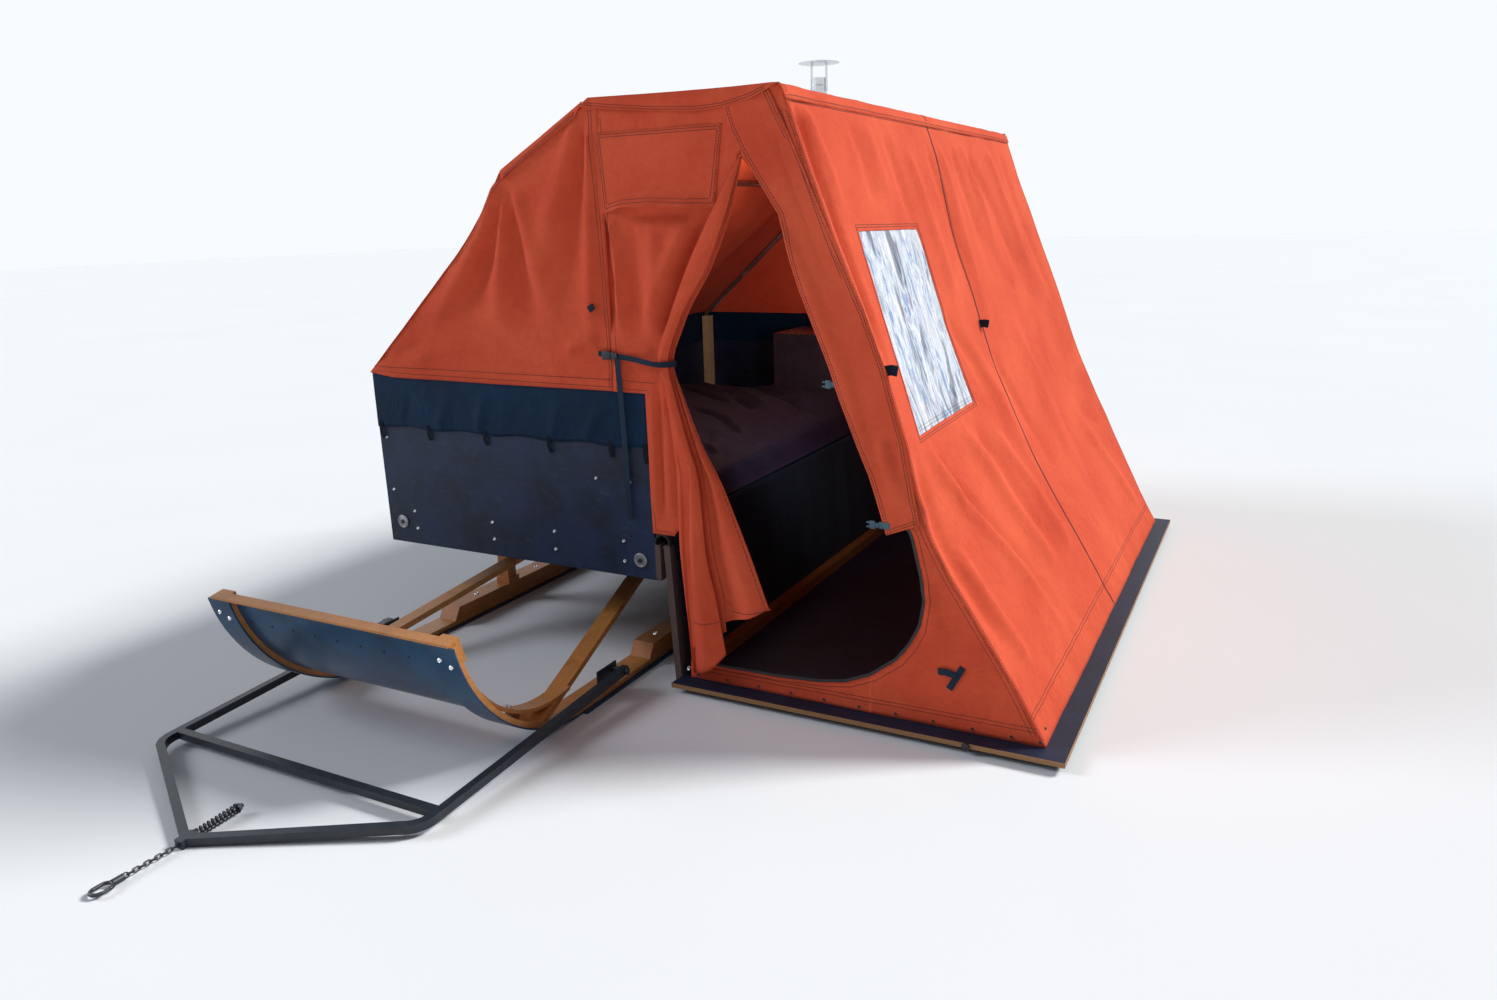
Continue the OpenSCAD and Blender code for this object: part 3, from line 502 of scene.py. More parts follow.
    def floor(self, tree: Tree, spot: object, finish: Finish) -> dict:
        """Dresses the studio floor, a nearly even pale grey."""
        tone = tree.noise(spot, 0.6, 2)
        return {"Base Color": tree.mix(tone, srgb(*finish.base), srgb(*finish.second)),
                "Specular IOR Level": 0.1}


PAINT = Paintbox()


# ---------------------------------------------------------------- shaping


def facing_turn(way: Sequence[float]) -> Matrix:
    """Returns the turn that points the Z axis along a direction."""
    return Vector(way).to_track_quat("Z", "Y").to_matrix().to_4x4()


def edges_of(verts: Iterable[bmesh.types.BMVert]) -> list[bmesh.types.BMEdge]:
    """Returns the edges that meet some vertices, each once."""
    return list({e for v in verts for e in v.link_edges})


class Shape:
    """A bmesh in hut millimetres, and the steps that fill it."""

    def __init__(self, bm: bmesh.types.BMesh | None = None) -> None:
        """Starts empty, or from a bmesh."""
        self.bm = bmesh.new() if bm is None else bm

    def round_off(self, edges: list[bmesh.types.BMEdge], bevel: float) -> None:
        """Rounds some edges."""
        bmesh.ops.bevel(self.bm, geom=edges, offset=bevel, affect="EDGES", segments=2,
                        profile=0.5, material=-1)

    def box(self, low: Point3, high: Point3, bevel: float = 0.0) -> None:
        """Adds a block.

        Args:
            low: Its lowest corner.
            high: Its highest corner.
            bevel: Width of its rounded edges.
        """
        low, high = Vector(low), Vector(high)
        place = Matrix.Translation((low + high) / 2) @ Matrix.Diagonal((*(high - low), 1))
        made = bmesh.ops.create_cube(self.bm, size=1, matrix=place)
        if bevel > 0:
            self.round_off(edges_of(made["verts"]), bevel)

    def rod(self, start: Sequence[float], end: Sequence[float], width: float, sides: int,
            bevel: float = 0.0) -> None:
        """Adds a round bar.

        Args:
            start: The middle of its first end.
            end: The middle of its second end.
            width: Its diameter.
            sides: Facets around it.
            bevel: Width of its rounded rims.
        """
        a, b = Vector(start), Vector(end)
        made = bmesh.ops.create_cone(
            self.bm, cap_ends=True, segments=sides, radius1=width / 2, radius2=width / 2,
            depth=(b - a).length, matrix=Matrix.Translation((a + b) / 2) @ facing_turn(b - a))
        if bevel > 0:
            self.round_off([e for e in edges_of(made["verts"])
                            if any(len(f.verts) > 4 for f in e.link_faces)], bevel)

    def ring(self, middle: Sequence[float], normal: Sequence[float], radius: float,
             wire: float, sides: int) -> None:
        """Adds a round ring of round wire, spun about its axis.

        Args:
            middle: Its middle.
            normal: The direction of its axis.
            radius: The radius of the wire's middle line.
            wire: The wire's diameter.
            sides: Facets around it.
        """
        before = set(self.bm.verts)
        made = bmesh.ops.create_circle(
            self.bm, segments=10, radius=wire / 2,
            matrix=Matrix.Translation((radius, 0, 0)) @ Matrix.Rotation(math.pi / 2, 4, "X"))
        bmesh.ops.spin(self.bm, geom=made["verts"] + edges_of(made["verts"]), cent=(0, 0, 0),
                       axis=UP, dvec=(0, 0, 0), angle=2 * math.pi, steps=sides, use_merge=True)
        bmesh.ops.transform(self.bm, matrix=Matrix.Translation(middle) @ facing_turn(normal),
                            verts=[v for v in self.bm.verts if v not in before])

    def sweep(self, section: Sequence[Point2], path: Sequence[Sequence[float]],
              up: Sequence[float] | Sequence[Vector]) -> None:
        """Adds a closed section drawn along a path.

        Args:
            section: Points of the section, sideways and upwards of the path.
            path: The places that its middle passes through.
            up: The section's upward direction, one for all or one for each place.
        """
        places = [Vector(p) for p in path]
        many = isinstance(up[0], (Vector, tuple))
        face = None
        for i, place in enumerate(places):
            ahead = places[min(i + 1, len(places) - 1)] - places[max(i - 1, 0)]
            ahead.normalize()
            above = Vector(up[i] if many else up)
            above = (above - above.dot(ahead) * ahead).normalized()
            beside = ahead.cross(above)
            spots = [place + beside * s + above * t for s, t in section]
            if face is None:
                face = self.bm.faces.new([self.bm.verts.new(p) for p in spots])
                continue
            grown = bmesh.ops.extrude_face_region(self.bm, geom=[face], use_keep_orig=i == 1)
            old = face
            face = next(g for g in grown["geom"] if isinstance(g, bmesh.types.BMFace))
            for vert, spot in zip(face.verts, spots):
                vert.co = spot
            if i > 1 and old.is_valid:
                self.bm.faces.remove(old)

    def ribbon(self, path: Sequence[Sequence[float]], up: Sequence[float] | Sequence[Vector],
               width: float, thick: float) -> None:
        """Adds a flat strap along a path, resting with its underside on it.

        Args:
            path: The places that it passes through.
            up: The direction that it faces, one for all or one for each place.
            width: Its width.
            thick: Its thickness.
        """
        half = width / 2
        self.sweep(((-half, 0), (half, 0), (half, thick), (-half, thick)), path, up)

    def screw(self, place: Sequence[float], normal: Sequence[float], width: float) -> None:
        """Adds a round screw head with a socket in it.

        Args:
            place: The middle of its seat.
            normal: The direction that it faces.
            width: Its diameter.
        """
        base, out = Vector(place), Vector(normal).normalized()
        made = bmesh.ops.create_cone(
            self.bm, cap_ends=True, segments=12, radius1=width / 2, radius2=width * 0.36,
            depth=width * 0.28,
            matrix=Matrix.Translation(base + out * width * 0.14) @ facing_turn(out))
        top = max({f for v in made["verts"] for f in v.link_faces},
                  key=lambda f: (f.calc_center_median() - base).dot(out))
        bmesh.ops.inset_region(self.bm, faces=[top], thickness=width * 0.16)
        bmesh.ops.translate(self.bm, verts=list(top.verts), vec=-out * width * 0.2)


@dataclass
class Workshop:
    """Turns shapes into pieces that ride on the frame.

    Attributes:
        made: How many pieces were made.
    """

    made: int = 0

    def piece(self, name: str, shape: Shape, finish: Finish, smooth: float | None = 40.0,
              sheet: bool = False) -> bpy.types.Object:
        """Makes an object of a shape.

        Args:
            name: The piece's name.
            shape: The shape, in hut millimetres.
            finish: Its finish.
            smooth: The widest angle that is shaded smooth, or None for flat shading.
            sheet: Whether it is cloth, with its own UV map and its faces turned already.

        Returns:
            The object.
        """
        for vert in shape.bm.verts:
            vert.co = hut_point(*vert.co)
        if not sheet:
            bmesh.ops.recalc_face_normals(shape.bm, faces=list(shape.bm.faces))
        mesh = bpy.data.meshes.new(name)
        shape.bm.to_mesh(mesh)
        shape.bm.free()
        piece = bpy.data.objects.new(name, mesh)
        bpy.context.scene.collection.objects.link(piece)
        mesh.materials.append(PAINT.material(finish, sheet))
        if smooth is not None:
            mesh.shade_smooth()
            mesh.set_sharp_from_angle(angle=math.radians(smooth))
        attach(piece, HUT)
        self.made += 1
        LOG.info("%s: %d faces", name, len(mesh.polygons))
        return piece


SHOP = Workshop()


def add_solidify(piece: bpy.types.Object, thick: float = SHEET_T) -> None:
    """Gives a sheet its thickness, behind its face."""
    wall = piece.modifiers.new("thickness", "SOLIDIFY")
    wall.thickness = thick * MM
    wall.offset = -1
    wall.use_rim = True


# ---------------------------------------------------------------- cloth


@dataclass(frozen=True)
class Fold:
    """A ridge or furrow that runs across cloth.

    Attributes:
        path: Its line, in the panel's own millimetres.
        height: How far it stands out, or sinks where negative.
        width: Its half width at the two ends.
        fade: The share of its length over which each end dies away.
    """

    path: tuple[Point2, ...]
    height: float
    width: Point2
    fade: Point2

    def lift(self, u: np.ndarray, v: np.ndarray) -> np.ndarray:
        """Returns how far the fold lifts the cloth at each place.

        Args:
            u: The places' u on the panel.
            v: Their v.

        Returns:
            The lift at each.
        """
        points = np.array(self.path, float)
        steps = np.linalg.norm(np.diff(points, axis=0), axis=1)
        total = steps.sum()
        best = np.full(u.shape, np.inf)
        share = np.zeros(u.shape)
        run = 0
        for (start, end), step in zip(zip(points[:-1], points[1:]), steps):
            way = (end - start) / step
            along = np.clip((u - start[0]) * way[0] + (v - start[1]) * way[1], 0, step)
            far = np.hypot(u - start[0] - way[0] * along, v - start[1] - way[1] * along)
            near = far < best
            best = np.where(near, far, best)
            share = np.where(near, (run + along) / total, share)
            run += step
        wide = self.width[0] + (self.width[1] - self.width[0]) * share
        grow = np.clip(share / max(self.fade[0], 1e-3), 0, 1)
        die = np.clip((1 - share) / max(self.fade[1], 1e-3), 0, 1)
        shape = np.exp(-((best / wide) ** 2))
        return self.height * shape * (grow * grow * (3 - 2 * grow)) * (die * die * (3 - 2 * die))


def creases(rows: Iterable[Sequence[float]]) -> list[Fold]:
    """Returns folds, from rows of height, two half widths, two fades and the line's places."""
    return [Fold(tuple(zip(r[5::2], r[6::2])), r[0], tuple(r[1:3]), tuple(r[3:5])) for r in rows]


def inside(spot: Sequence[float], loop: Sequence[Point2]) -> bool:
    """Returns whether a spot lies inside a closed outline.

    Args:
        spot: The spot.
        loop: The outline.

    Returns:
        Whether it does.
    """
    within = False
    for (x0, y0), (x1, y1) in zip(loop, list(loop[1:]) + [loop[0]]):
        if (y0 > spot[1]) != (y1 > spot[1]):
            if spot[0] < x0 + (spot[1] - y0) / (y1 - y0) * (x1 - x0):
                within = not within
    return within


def near_segment(spot: Sequence[float], a: Point2, b: Point2) -> float:
    """Returns the distance of a spot from a segment.

    Args:
        spot: The spot.
        a: The segment's start.
        b: Its end.

    Returns:
        The distance.
    """
    way = (b[0] - a[0], b[1] - a[1])
    size = way[0] ** 2 + way[1] ** 2
    t = 0 if size == 0 else ((spot[0] - a[0]) * way[0] + (spot[1] - a[1]) * way[1]) / size
    t = min(1, max(0, t))
    return math.hypot(spot[0] - a[0] - way[0] * t, spot[1] - a[1] - way[1] * t)


def cut_grid(outline: Sequence[Point2], holes: Sequence[Sequence[Point2]],
             step: float) -> bmesh.types.BMesh:
    """Cuts a flat panel out of a fine grid.

    Args:
        outline: The panel's outline.
        holes: The outlines of its openings.
        step: The grid's pitch.

    Returns:
        The panel as a bmesh, flat in u and v.
    """
    low = [min(p[i] for p in outline) for i in range(2)]
    high = [max(p[i] for p in outline) for i in range(2)]
    size = [high[i] - low[i] for i in range(2)]
    bm = bmesh.new()
    place = Matrix.Translation(((low[0] + high[0]) / 2, (low[1] + high[1]) / 2, 0))
    bmesh.ops.create_grid(bm, x_segments=max(2, round(size[0] / step)),
                          y_segments=max(2, round(size[1] / step)), size=0.5,
                          matrix=place @ Matrix.Diagonal((size[0], size[1], 1, 1)))
    for loop in (outline, *holes):
        for a, b in zip(loop, list(loop[1:]) + [loop[0]]):
            across = Vector((b[1] - a[1], a[0] - b[0], 0))
            if across.length < 1e-6:
                continue
            faces = [f for f in bm.faces
                     if near_segment(f.calc_center_median(), a, b) < 1.6 * step]
            edges = list({e for f in faces for e in f.edges})
            verts = list({v for f in faces for v in f.verts})
            bmesh.ops.bisect_plane(bm, geom=faces + edges + verts, dist=0.02 * step,
                                   plane_co=(a[0], a[1], 0), plane_no=across.normalized())
    doomed = [f for f in bm.faces
              if not inside(f.calc_center_median(), outline)
              or any(inside(f.calc_center_median(), hole) for hole in holes)]
    bmesh.ops.delete(bm, geom=doomed, context="FACES")
    bmesh.ops.remove_doubles(bm, verts=list(bm.verts), dist=0.03 * step)
    return bm


def along_path(path: Sequence[Point2], step: float) -> list[Point2]:
    """Returns places spaced evenly along a line of several parts.

    Args:
        path: The line's corners.
        step: The spacing.

    Returns:
        The places, with its end.
    """
    spots: list[Point2] = []
    left = 0
    for (x0, y0), (x1, y1) in zip(path[:-1], path[1:]):
        size = math.hypot(x1 - x0, y1 - y0)
        far = left
        while far < size:
            spots.append((x0 + (x1 - x0) * far / size, y0 + (y1 - y0) * far / size))
            far += step
        left = far - size
    spots.append(tuple(path[-1]))
    return spots


def beside(path: Sequence[Point2], side: float) -> list[Point2]:
    """Returns a path moved sideways.

    Args:
        path: The path.
        side: How far it moves to the left of its direction.

    Returns:
        The moved path.
    """
    moved = []
    for i, (x, y) in enumerate(path):
        a, b = path[max(i - 1, 0)], path[min(i + 1, len(path) - 1)]
        way = Vector((b[0] - a[0], b[1] - a[1])).normalized()
        moved.append((x - way.y * side, y + way.x * side))
    return moved


def stitch_run(shape: Shape, places: Sequence[Vector], ups: Sequence[Vector],
               stitch: Point3 = STITCH) -> None:
    """Adds a stitch between each two places of a line.

    Args:
        shape: The shape that they are added to.
        places: The line's places.
        ups: The direction that the cloth faces at each place.
        stitch: A stitch's share of its part of the line, its width and its height.
    """
    for a, b, up in zip(places, places[1:], ups):
        way = b - a
        if way.length < 1:
            continue
        ahead = way.normalized()
        beside = ahead.cross(up).normalized()
        turn = Matrix((ahead, beside, beside.cross(ahead))).transposed().to_4x4()
        size = (stitch[0] * way.length, stitch[1], stitch[2], 1)
        bmesh.ops.create_cube(shape.bm, size=1, matrix=Matrix.Translation(a + way * 0.5)
                              @ turn @ Matrix.Diagonal(size))


class Held(Enum):
    """The ways in which a panel is held."""

    STRETCHED = "stretched"
    HUNG = "hung"


@dataclass
class Panel:
    """A panel of cloth, cut flat and hung with its folds.

    Attributes:
        name: The piece's name.
        outline: Its outline, in its own millimetres.
        spot: Where a place of the panel lies, for u, v and the lift above the cloth.
        ripple: Height of its small unevenness.
        seed: The place in the noise that its unevenness comes from.
        holes: Its openings.
        folds: Its folds.
        step: The pitch of its mesh.
    """

    name: str
    outline: Sequence[Point2]
    spot: Callable[[float, float, float], Vector]
    ripple: float
    seed: float
    holes: Sequence[Sequence[Point2]] = ()
    folds: Sequence[Fold] = ()
    step: float = 14.0

    def relief(self, u: np.ndarray, v: np.ndarray) -> np.ndarray:
        """Returns how far the cloth stands out at each place.

        Args:
            u: The places' u on the panel.
            v: Their v.

        Returns:
            The height at each.
        """
        total = np.zeros(u.shape)
        for fold in self.folds:
            total += fold.lift(u, v)
        rough = np.array([noise.fractal(Vector((a / 160, b / 260, self.seed)), 1, 2, 3)
                          for a, b in zip(u.ravel(), v.ravel())])
        return total + self.ripple * rough.reshape(u.shape)

    def place(self, u: float, v: float, above: float = 0.0) -> Vector:
        """Returns where a place of the hung panel lies, at a height above its face."""
        lift = float(self.relief(np.array([u]), np.array([v]))[0])
        return self.spot(u, v, lift + above)

    def facing(self, u: float, v: float) -> Vector:
        """Returns the direction that the panel faces at a place."""
        return (self.spot(u, v, 1) - self.spot(u, v, 0)).normalized()

    def make(self, replaces: Sequence[str] = (), finish: Finish = CANVAS,
             held: Held = Held.STRETCHED, rests_on: str = "frame_bows",
             thick: float = SHEET_T) -> bpy.types.Object:
        """Makes the panel's piece.

        Args:
            replaces: The CAD nodes that it stands for.
            finish: Its finish.
            held: How the cloth is held; not used.
            rests_on: What it hangs from or lies on; not used.
            thick: The cloth's thickness.

        Returns:
            The piece.
        """
        bm = cut_grid(self.outline, self.holes, self.step)
        flat = np.array([v.co[:2] for v in bm.verts])
        area = sum(f.calc_area() for f in bm.faces)
        layer = bm.loops.layers.uv.new("cut")
        for face in bm.faces:
            for loop in face.loops:
                loop[layer].uv = (loop.vert.co.x * MM, loop.vert.co.y * MM)
        lift = self.relief(flat[:, 0], flat[:, 1])
        for vert, (u, v), rise in zip(bm.verts, flat, lift):
            vert.co = self.spot(u, v, rise)
        bm.normal_update()
        faces = list(bm.faces)
        if sum(f.normal.dot(self.facing(*flat[f.verts[0].index])) for f in faces[:40]) < 0:
            bmesh.ops.reverse_faces(bm, faces=faces)
        piece = SHOP.piece(self.name, Shape(bm), finish, smooth=60, sheet=True)
        add_solidify(piece, thick)
        if replaces:
            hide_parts(*replaces)
        return piece

    def laid(self, path: Sequence[Point2], step: float,
             above: float) -> tuple[list[Vector], list[Vector]]:
        """Returns places spaced along a path on the panel, and where it faces there.

        Args:
            path: The path.
            step: The spacing.
            above: The places' height above the cloth.

        Returns:
            The places and the directions.
        """
        spots = along_path(path, step)
        u, v = np.array(spots).T
        places = [self.spot(a, b, lift + above) for a, b, lift in zip(u, v, self.relief(u, v))]
        return places, [self.facing(*spot) for spot in spots]

    def sew(self, name: str, *runs: tuple[float, Sequence[Point2]],
            stitch: Point3 = STITCH) -> None:
        """Sews the panel and makes the stitches' piece.

        Args:
            name: The piece's name.
            *runs: The gap between a run's two lines, 0 where it is single, and its path.
            stitch: A stitch's share of the pitch, its width and its height.
        """
        shape = Shape()
        for gap, path in runs:
            for side in (-gap / 2, gap / 2) if gap else (0,):
                stitch_run(shape, *self.laid(beside(path, side), PITCH, STITCH_LIFT), stitch)
        SHOP.piece(name, shape, THREAD, smooth=None)

    def tape(self, path: Sequence[Point2], width: float, thick: float) -> Shape:
        """Returns a flat strip of cloth that lies on the panel along a path."""
        strip = Shape()
        strip.ribbon(*self.laid(path, TAPE_STEP, TAPE_LIFT), width, thick)
        return strip

    def studs(self, spots: Iterable[Point2], way: Sequence[float]) -> Shape:
        """Returns studs at some places of the panel, all facing one way."""
        shape = Shape()
        for u, v in spots:
            shape.screw(self.place(u, v), way, STUD_W)
        return shape


def front_spot(u: float, v: float, lift: float) -> Vector:
    """Returns a place on the front cloth."""
    return Vector((u, -CLOTH_OUT - lift, v))


def over_skirt(height: float) -> float:
    """Returns how far the front cloth stands out to pass over the skirt."""
    return 6 * min(1, max(0, (SKIRT_TOP - height) / 30))


def rear_spot(u: float, v: float, lift: float) -> Vector:
    """Returns a place on the rear cloth."""
    return Vector((u, HUT_LEN + CLOTH_OUT + lift, v))


@dataclass
class RoofLine:
    """The line that the roof's cloth follows across the hut, rounded over the tubes.

    Attributes:
        corners: Its corners, from the left eave to the foot of the right slope.
        radii: Radius of each bend.
    """

    corners: tuple[Vector, ...] = (
        Vector((-1213, 1020)), Vector((-644, 1520)), Vector((-518, 1702)),
        RIDGE_LEFT, RIDGE_RIGHT, Vector((925, 700)), SLOPE_FOOT)
    radii: tuple[float, ...] = (1200, 20, 45, 24, 2000)
    points: list[Vector] = field(default_factory=list)
    lengths: list[float] = field(default_factory=list)

    def __post_init__(self) -> None:
        """Works out the rounded line."""
        points = [self.corners[0].copy()]
        for a, b, c, radius in zip(self.corners, self.corners[1:], self.corners[2:], self.radii):
            before, after = (a - b).normalized(), (c - b).normalized()
            turn = math.pi - before.angle(after)
            back = radius * math.tan(turn / 2)
            start, end = b + before * back, b + after * back
            for i in range(7):
                t = i / 6
                points.append(start * (1 - t) ** 2 + b * 2 * t * (1 - t) + end * t * t)
        points.append(self.corners[-1].copy())
        self.points = points
        self.lengths = [0]
        for a, b in zip(points, points[1:]):
            self.lengths.append(self.lengths[-1] + (b - a).length)

    def at(self, s: float) -> tuple[Vector, Vector]:
        """Returns the place and the outward direction at a distance along the line.

        Args:
            s: The distance from the left eave.

        Returns:
            The place and the direction.
        """
        s = min(max(s, 0), self.lengths[-1])
        i = int(np.clip(np.searchsorted(self.lengths, s) - 1, 0, len(self.points) - 2))
        part = (s - self.lengths[i]) / max(self.lengths[i + 1] - self.lengths[i], 1e-9)
        a, b = self.points[i], self.points[i + 1]

        def way(k: int) -> Vector:
            """Returns the line's direction in part k."""
            k = min(max(k, 0), len(self.points) - 2)
            return (self.points[k + 1] - self.points[k]).normalized()

        here = way(i)
        if part > 0.5:
            ahead = here.lerp(way(i + 1), part / 2)
        else:
            ahead = way(i - 1).lerp(here, part + 0.5)
        ahead = here if part in (0, 1) else ahead.normalized()
        return a.lerp(b, part), Vector((-ahead.y, ahead.x))

    def left_edge(self, inset: float = 0.0) -> list[Point2]:
        """Returns the line from the eave to the ridge, moved inwards."""
        return [tuple(self.points[i] - self.at(self.lengths[i])[1] * inset)
                for i in (0, 1, 3, 5, 7, 11, 16)]

    def spot(self, u: float, v: float, lift: float) -> Vector:
        """Returns a place on the roof, u along the hut and v along the line."""
        place, out = self.at(v)
        return Vector((place.x + out.x * lift, u, place.y + out.y * lift))


ROOF = RoofLine()
RIDGE_S = ROOF.lengths[28]
ROOF_END = ROOF.lengths[-1]


def slope_spot(u: float, v: float, lift: float) -> Vector:
    """Returns a place on the right slope, u along the hut and v down from the ridge."""
    return ROOF.spot(u, RIDGE_S + v, lift)


@dataclass
class SlopePanel(Panel):
    """The right slope, which hangs slack between its two bows.

    Attributes:
        sag: How far it stands out at the middle of the hut, by the place down the slope.
        front: How far its front edge stands out.
        rear: How far its rear edge stands out.
    """

    sag: tuple[Point2, ...] = (
        (0, 0), (157, -1), (288, -7), (446, -18), (593, -24), (768, -31), (860, -31), (980, -28),
        (1120, -20), (1260, -14), (1400, -11), (1700, -5), (2040, 0))
    front: tuple[Point2, ...] = (
        (0, 0), (220, 0), (430, 4), (640, 20), (850, 26), (1060, 16), (1200, 0), (1330, -15),
        (1480, -16), (1640, -8), (1800, -2), (2040, 0))
    rear: tuple[Point2, ...] = (
        (0, 0), (190, -2), (373, 6), (673, 18), (997, 24), (1207, 34), (1430, 32), (1683, 14),
        (1890, 1), (2040, 0))

    def relief(self, u: np.ndarray, v: np.ndarray) -> np.ndarray:
        """Returns how far the cloth stands out, with its sag between the bows.

        Args:
            u: The places' distances along the hut.
            v: Their distances down the slope.

        Returns:
            The height at each.
        """
        sag, front, rear = (np.interp(v, *zip(*row)) for row in (self.sag, self.front, self.rear))
        bow = np.clip(1 - np.abs(2 * np.clip(u / HUT_LEN, 0, 1) - 1) ** 2.4, 0, 1)
        away = HUT_LEN - u
        total = super().relief(u, v) + sag * bow
        total += front * np.exp(-((u / 170) ** 2))
        total += rear * np.exp(-((away / 260) ** 2))
        free = np.clip((np.minimum(u, away) - 28) / 50, 0, 1)
        free = np.maximum(free * free * (3 - 2 * free), np.clip((v - 1250) / 330, 0, 1))
        return np.maximum(total, -2.2 - 90 * free)


# ---------------------------------------------------------------- sub-assemblies


@dataclass
class Tent:
    """The canvas tent: its slopes, ends, flaps, window and sewing.

    Attributes:
        seam_y: Where the right slope's middle seam runs.
        door_edge: The door opening's edge, from its top round its lower corner.
        window: The corners of the window in the right slope.
        casing: The sagging seam below the sleeve over the front bow.
        storm_inner: The storm flap's edge along the door.
        storm_outer: Its edge on the slope's side.
        buckles: Where its two buckles hang.
        studs: Where the studs of the front hem sit.
    """

    seam_y: float = 1250.0
    door_edge: tuple[Point2, ...] = (
        (364, 1709), (416, 1648), (487, 1542), (504, 1485), (521, 1412), (670, 1078), (826, 728),
        (893, 630), (923, 510), (937, 434), (923, 353), (893, 290), (851, 232), (765, 165),
        (682, 128), (590, 112), (450, 103), (320, 100), (200, 100), (123, 98))
    window: tuple[Point2, ...] = ((232, 414), (804, 416), (836, 1050), (178, 1053))
    casing: tuple[Point2, ...] = (
        (475, 1884), (454, 1876), (417, 1860), (313, 1840), (226, 1836), (77, 1846), (-79, 1863),
        (-178, 1876))
    storm_inner: tuple[Point2, ...] = (
        (318, 1842), (335, 1787), (366, 1727), (416, 1648), (487, 1542), (504, 1485), (521, 1412),
        (548, 1330), (592, 1223), (637, 1115), (668, 1023), (763, 800), (817, 621))
    storm_outer: tuple[Point2, ...] = (
        (462, 1880), (512, 1780), (574, 1645), (634, 1510), (688, 1398), (748, 1270), (812, 1108),
        (869, 910), (921, 663))
    buckles: tuple[Point2, ...] = ((668, 1060), (806, 650))
    studs: tuple[float, ...] = (150, 262, 378, 494, 610, 730, 850, 970, 1090, 1206, 1290)

    def side_edge(self, slope: Panel, y: float) -> list[Point2]:
        """Returns the slope's edge as seen from one end, from the ridge to the foot.

        Args:
            slope: The right slope.
            y: The end's place along the hut.

        Returns:
            The edge's places, across and up.
        """
        spots = [(RIDGE_RIGHT.x, RIDGE_RIGHT.y)]
        for v in (*range(60, 1140, 60), *range(1140, 1500, 30),
                  *range(1500, int(ROOF_END - RIDGE_S) - 30, 60)):
            place = slope.place(y, v)
            spots.append((place.x - 0.8, place.z))
        return spots + [(SLOPE_FOOT.x, SLOPE_FOOT.y)]

    def build(self) -> None:
        """Makes the whole tent."""
        self.roof()
        slope = self.right_slope()
        self.front(self.side_edge(slope, 0))
        self.rear(self.side_edge(slope, HUT_LEN))
        self.flaps()

    def roof(self) -> None:
        """Makes the left slopes and the top as one sheet over the tubes."""
        end = RIDGE_S + 30
        shoulder_s, ridge_s = ROOF.lengths[11], ROOF.lengths[18]
        panel = Panel(
            "tent_roof", [(-9, 0), (HUT_LEN + 6, 0), (HUT_LEN + 6, end), (-9, end)],
            lambda u, v, lift: ROOF.spot(
                u, v, lift + 3.4 * min(1, max(0, (v - RIDGE_S + 30) / 30))),
            step=17, ripple=2, seed=3.1, folds=creases([
                (9, 40, 90, .15, .4, 250, shoulder_s - 40, 420, 500, 500, 60),
                (-9, 50, 100, .15, .4, 900, shoulder_s - 30, 980, 480, 1000, 50),
                (8, 50, 100, .15, .4, 1600, shoulder_s - 30, 1540, 500, 1500, 60),
                (-9, 40, 90, .15, .4, 2250, shoulder_s - 40, 2080, 500, 2000, 60),
                (5, 30, 60, .15, .4, 60, shoulder_s + 60, 420, shoulder_s + 200),
                (5, 30, 60, .15, .4, 2440, shoulder_s + 60, 2080, shoulder_s + 200),
                (7, 60, 40, .1, .9, 0, ridge_s, 200, ridge_s + 20),
                (5, 50, 40, .1, .9, 0, shoulder_s, 160, shoulder_s),
                (-8, 60, 130, .3, .3, 40, ridge_s + 120, 900, ridge_s + 340, 1700, ridge_s + 300),
                (6, 50, 100, .3, .3, 2400, ridge_s + 160, 1700, ridge_s + 360)]))
        panel.make(("canvas_left", "canvas_top"))
        panel.sew("tent_roof_stitching",
                  *((0, [(10, s), (HUT_LEN - 10, s)])
                    for s in (14, shoulder_s + 34, ridge_s - 30, ridge_s + 34, end - 12)),
                  *((gap, [(u, 20), (u, end - 20)])
                    for gap, u in ((0, 14), (0, HUT_LEN - 14), (9, self.seam_y))))

